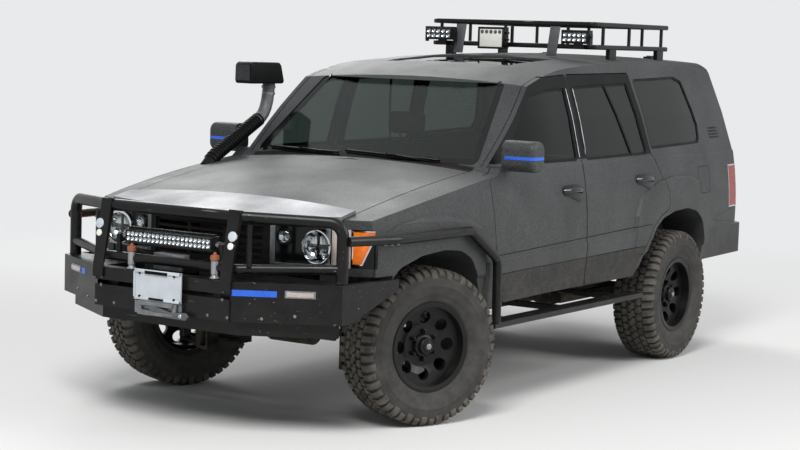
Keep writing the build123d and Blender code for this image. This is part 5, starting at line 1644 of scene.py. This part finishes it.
@dataclass
class Snorkel:
    """Raised air intake: ribbed hose, smooth elbow with its clamps, and the meshed head.

    Attributes:
        radius: Radius of the hose.
        face: Station of the mesh in the head's mouth.
    """

    radius: float = 36.0
    face: float = 571.5

    def hose(self, shape: Shape) -> None:
        """Adds the hose with its ribs, the elbow and the clamps.

        Args:
            shape: Mesh of the intake: black 0, grey 1, steel 2, dark 3.
        """
        radius = self.radius
        line = [at(*spot) for spot in ((-852, 262, 1214), (-851, 300, 1248), (-850, 340, 1280),
                                       (-846, 460, 1342), (-841, 610, 1420), (-837, 740, 1487))]
        shape.run(line, radius, 28)
        for start, end in zip(line[1:], line[2:]):
            along = (end - start).normalized()
            turned = along.to_track_quat("X", "Y").to_matrix().to_4x4()
            count = max(1, round((end - start).length / 0.022))
            for number in range(count):
                middle = start + (end - start) * (number + 0.5) / count
                shape.lathe([(-8, radius - 1), (-4, radius + 6), (4, radius + 6),
                             (8, radius - 1)], Matrix.Translation(middle) @ turned, 24)
        shape.paint(0)
        shape.run([at(*spot) for spot in ((-838, 722, 1478), (-836, 752, 1496),
                                          (-836, 778, 1520), (-836, 797, 1550),
                                          (-836, 812, 1590), (-836, 821, 1640),
                                          (-836, 827, 1700))], radius + 1, 28)
        shape.paint(1)
        for z, size, number in ((1636, 39.5, 2), (1676, 42, 1)):
            shape.lathe([(-8, radius), (-7, size), (7, size), (8, radius)],
                        upwards(at(-836, 823, z)), 28)
            shape.paint(number)

    def head(self, shape: Shape) -> None:
        """Adds the rounded head with the wire mesh in its mouth.

        Args:
            shape: Mesh of the intake.
        """
        outline = [(574, 1716), (582, 1696), (884, 1696), (898, 1708), (866, 1806), (846, 1822),
                   (600, 1824), (576, 1806)]
        before = set(shape.bm.verts)
        shape.prism([at(-899, station, z) for station, z in outline], mm(126, 0, 0))
        fresh = [vert for vert in shape.bm.verts if vert not in before]
        edges = {edge for vert in fresh for edge in vert.link_edges}
        bmesh.ops.bevel(shape.bm, geom=list(edges), offset=0.011, segments=4, profile=0.5,
                        affect="EDGES", material=-1, clamp_overlap=True)
        shape.paint(0)
        low, high, left, right = 1714, 1806, -886, -786
        shape.slabs(self.face + 1, self.face + 6, (left, right, low, high))
        shape.paint(3)
        for number in range(-5, 7):
            for way in (-1, 1):
                start = left + number * 16 if way > 0 else right - number * 16
                end = start + way * (high - low)
                near, far = (min(max(x, left), right) for x in (start, end))
                foot, top = low + abs(near - start), high - abs(far - end)
                if max(start, end) > left and min(start, end) < right and top - foot >= 8:
                    shape.rod(at(near, self.face, foot), at(far, self.face, top), 1.3, sides=6)
        shape.paint(1)

    def build(self) -> None:
        """Makes the intake in place of the plain CAD form."""
        shape = Shape()
        self.hose(shape)
        self.head(shape)
        made = shape.piece("snorkel_intake", "trim_black", TRIM_BLACK, FRAME_GREY, STEEL, SEAL)
        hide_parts("snorkel")


@dataclass
class Cabin:
    """Padded seats and the steering wheel's hub cover.

    Attributes:
        floor: Height of the cabin's floor.
        cuts: Cuts across each side of a pad.
    """

    floor: float = 640.3
    cuts: int = 14

    def pad(self, shape: Shape, half: tuple[float, float, float], axes: Matrix, crown: float,
            channels: Sequence[float] = (), deep: float = 0.007) -> None:
        """Adds one stuffed pad with rounded sides, a crown and sewn channels.

        Args:
            shape: Mesh of the seat.
            half: Half sizes across, along and through, in metres.
            axes: Matrix from the pad's axes to the frame.
            crown: Rise of the middle over the edge, in metres.
            channels: Places across of the sewn channels, from -1 to 1.
            deep: Depth of a channel, in metres.
        """
        before = set(shape.bm.verts)
        made = bmesh.ops.create_cube(shape.bm, size=2.0)["verts"]
        edges = list({edge for vert in made for edge in vert.link_edges})
        bmesh.ops.subdivide_edges(shape.bm, edges=edges, cuts=self.cuts, use_grid_fill=True)
        fillet = min(half) * 0.72
        for vert in [vert for vert in shape.bm.verts if vert not in before]:
            u, v, w = vert.co
            spot = Vector((u * half[0], v * half[1], w * half[2]))
            core = Vector([max(-h + fillet, min(h - fillet, c)) for c, h in zip(spot, half)])
            away = spot - core
            if away.length > 1e-6:
                spot = core + away.normalized() * fillet
            if w > 0:
                swell = (1 - u * u) * (1 - v * v)
                groove = sum(math.exp(-((u - c) / 0.035) ** 2) for c in channels)
                groove *= max(0.0, 1 - abs(v) ** 6)
                spot.z += crown * swell - deep * groove
            spot.x *= 1 - 0.03 * (1 - abs(abs(u) * abs(v)))
            vert.co = axes @ spot
        bmesh.ops.recalc_face_normals(shape.bm, faces=shape.bm.faces)

    def seat(self, name: str, x: float, station: float, half: float,
             rests: Sequence[float]) -> bpy.types.Object:
        """Makes one seat with cushion, back, bolsters and headrests.

        Args:
            name: Name of the piece.
            x: Middle of the seat.
            station: Station that its profile is drawn from.
            half: Half width.
            rests: Places across of its headrests.

        Returns:
            The seat.
        """
        shape = Shape()
        base = self.floor
        flat = Matrix.Translation(at(x, station - 60, base + 150))
        flat = flat @ Matrix.Rotation(math.radians(5), 4, "X")
        upright = Matrix.Translation(at(x, station + 290, base + 480))
        upright = upright @ Matrix.Rotation(math.pi / 2 - math.atan2(100, 560), 4, "X")
        wide = half / 1000
        middle = wide * 0.74
        edge = wide - middle
        lanes = (-0.5, 0.0, 0.5) if half < 300 else (-0.72, -0.34, 0.0, 0.34, 0.72)
        self.pad(shape, (middle, 0.245, 0.062), flat, 0.014, lanes)
        self.pad(shape, (middle, 0.275, 0.052), upright, 0.012, lanes)
        shape.paint(0)
        for side in (-1, 1):
            shift = Matrix.Translation((side * (middle + edge * 0.46), 0, 0.010))
            self.pad(shape, (edge * 0.58, 0.255, 0.070), flat @ shift, 0.010)
            self.pad(shape, (edge * 0.58, 0.270, 0.060), upright @ shift, 0.010)
        for rest in rests:
            top = Matrix.Translation(at(x + rest, station + 412, base + 826))
            top = top @ Matrix.Rotation(math.pi / 2 - 0.1, 4, "X")
            self.pad(shape, (0.12, 0.068, 0.038), top, 0.010)
            for side in (-1, 1):
                foot = at(x + rest + side * 50, station + 408, base + 700)
                shape.rod(foot, foot + mm(0, 4, 90), 6, sides=12)
        shape.paint(1)
        shape.slabs(station - 285, station + 180, (x - half + 45, x + half - 45, base + 12,
                                                   base + 88))
        shape.soften(6, 60.0)
        shape.paint(2)
        return shape.piece(name, "seat_cloth", CLOTH, CLOTH_DARK, TRIM_BLACK, shade=60.0)

    def wheel_cover(self) -> None:
        """Makes the padded cover over the steering wheel's hub and spokes."""
        shape = Shape()
        tilt = math.radians(24)
        column = Vector((0, math.cos(tilt), math.sin(tilt)))
        up = Vector((0, -math.sin(tilt), math.cos(tilt)))
        middle = at(385, 1010, 1095)
        turned = Matrix((column, Vector((-1, 0, 0)), up)).transposed().to_4x4()
        shape.lathe([(10, TIP), (10, 78), (18, 82), (30, 70), (38, 40), (40, TIP)],
                    Matrix.Translation(middle) @ turned)
        for away, radius in ((Vector((-1, 0, 0)), 20), (Vector((1, 0, 0)), 20), (-up, 22)):
            shape.rod(middle + away * 0.06 + column * 0.014,
                      middle + away * 0.165 + column * 0.006, radius, 14, 16)
        shape.piece("wheel_cover", "trim_black", TRIM_BLACK, body="steering_wheel")

    def build(self) -> None:
        seats = [self.seat("seat_left", 410, 1290, 235, (0,)),
                 self.seat("seat_right", -410, 1290, 235, (0,)),
                 self.seat("rear_bench", 0, 1990, 640, (-420, 0, 420))]
        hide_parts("seats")
        self.wheel_cover()


def write_sizes() -> None:
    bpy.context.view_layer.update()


def main() -> None:
    """Builds every sub-assembly in order."""
    logging.basicConfig(level=logging.INFO, format="%(name)s %(message)s")
    builders: list[Callable[[], None]] = [
        Studio().build,
        Coats().build,
        Wheel("front_left", 1, 0, 760, 60, 22.5).build,
        Wheel("front_right", -1, 0, 760, 60, 22.5).build,
        Wheel("rear_left", 1, 2850, 820, 0, 0).build,
        Wheel("rear_right", -1, 2850, 820, 0, 0).build,
        GlassTrim().build,
        Lamps().build,
        LightBar().build,
        BarTrim().build,
        PlateAndWinch().build,
        DoorTrim().build,
        BodyTrim().build,
        Wipers().build,
        RoofKit().build,
        Snorkel().build,
        Cabin().build,
    ]
    for build in builders:
        build()
    write_sizes()


if __name__ == "__main__":
    main()
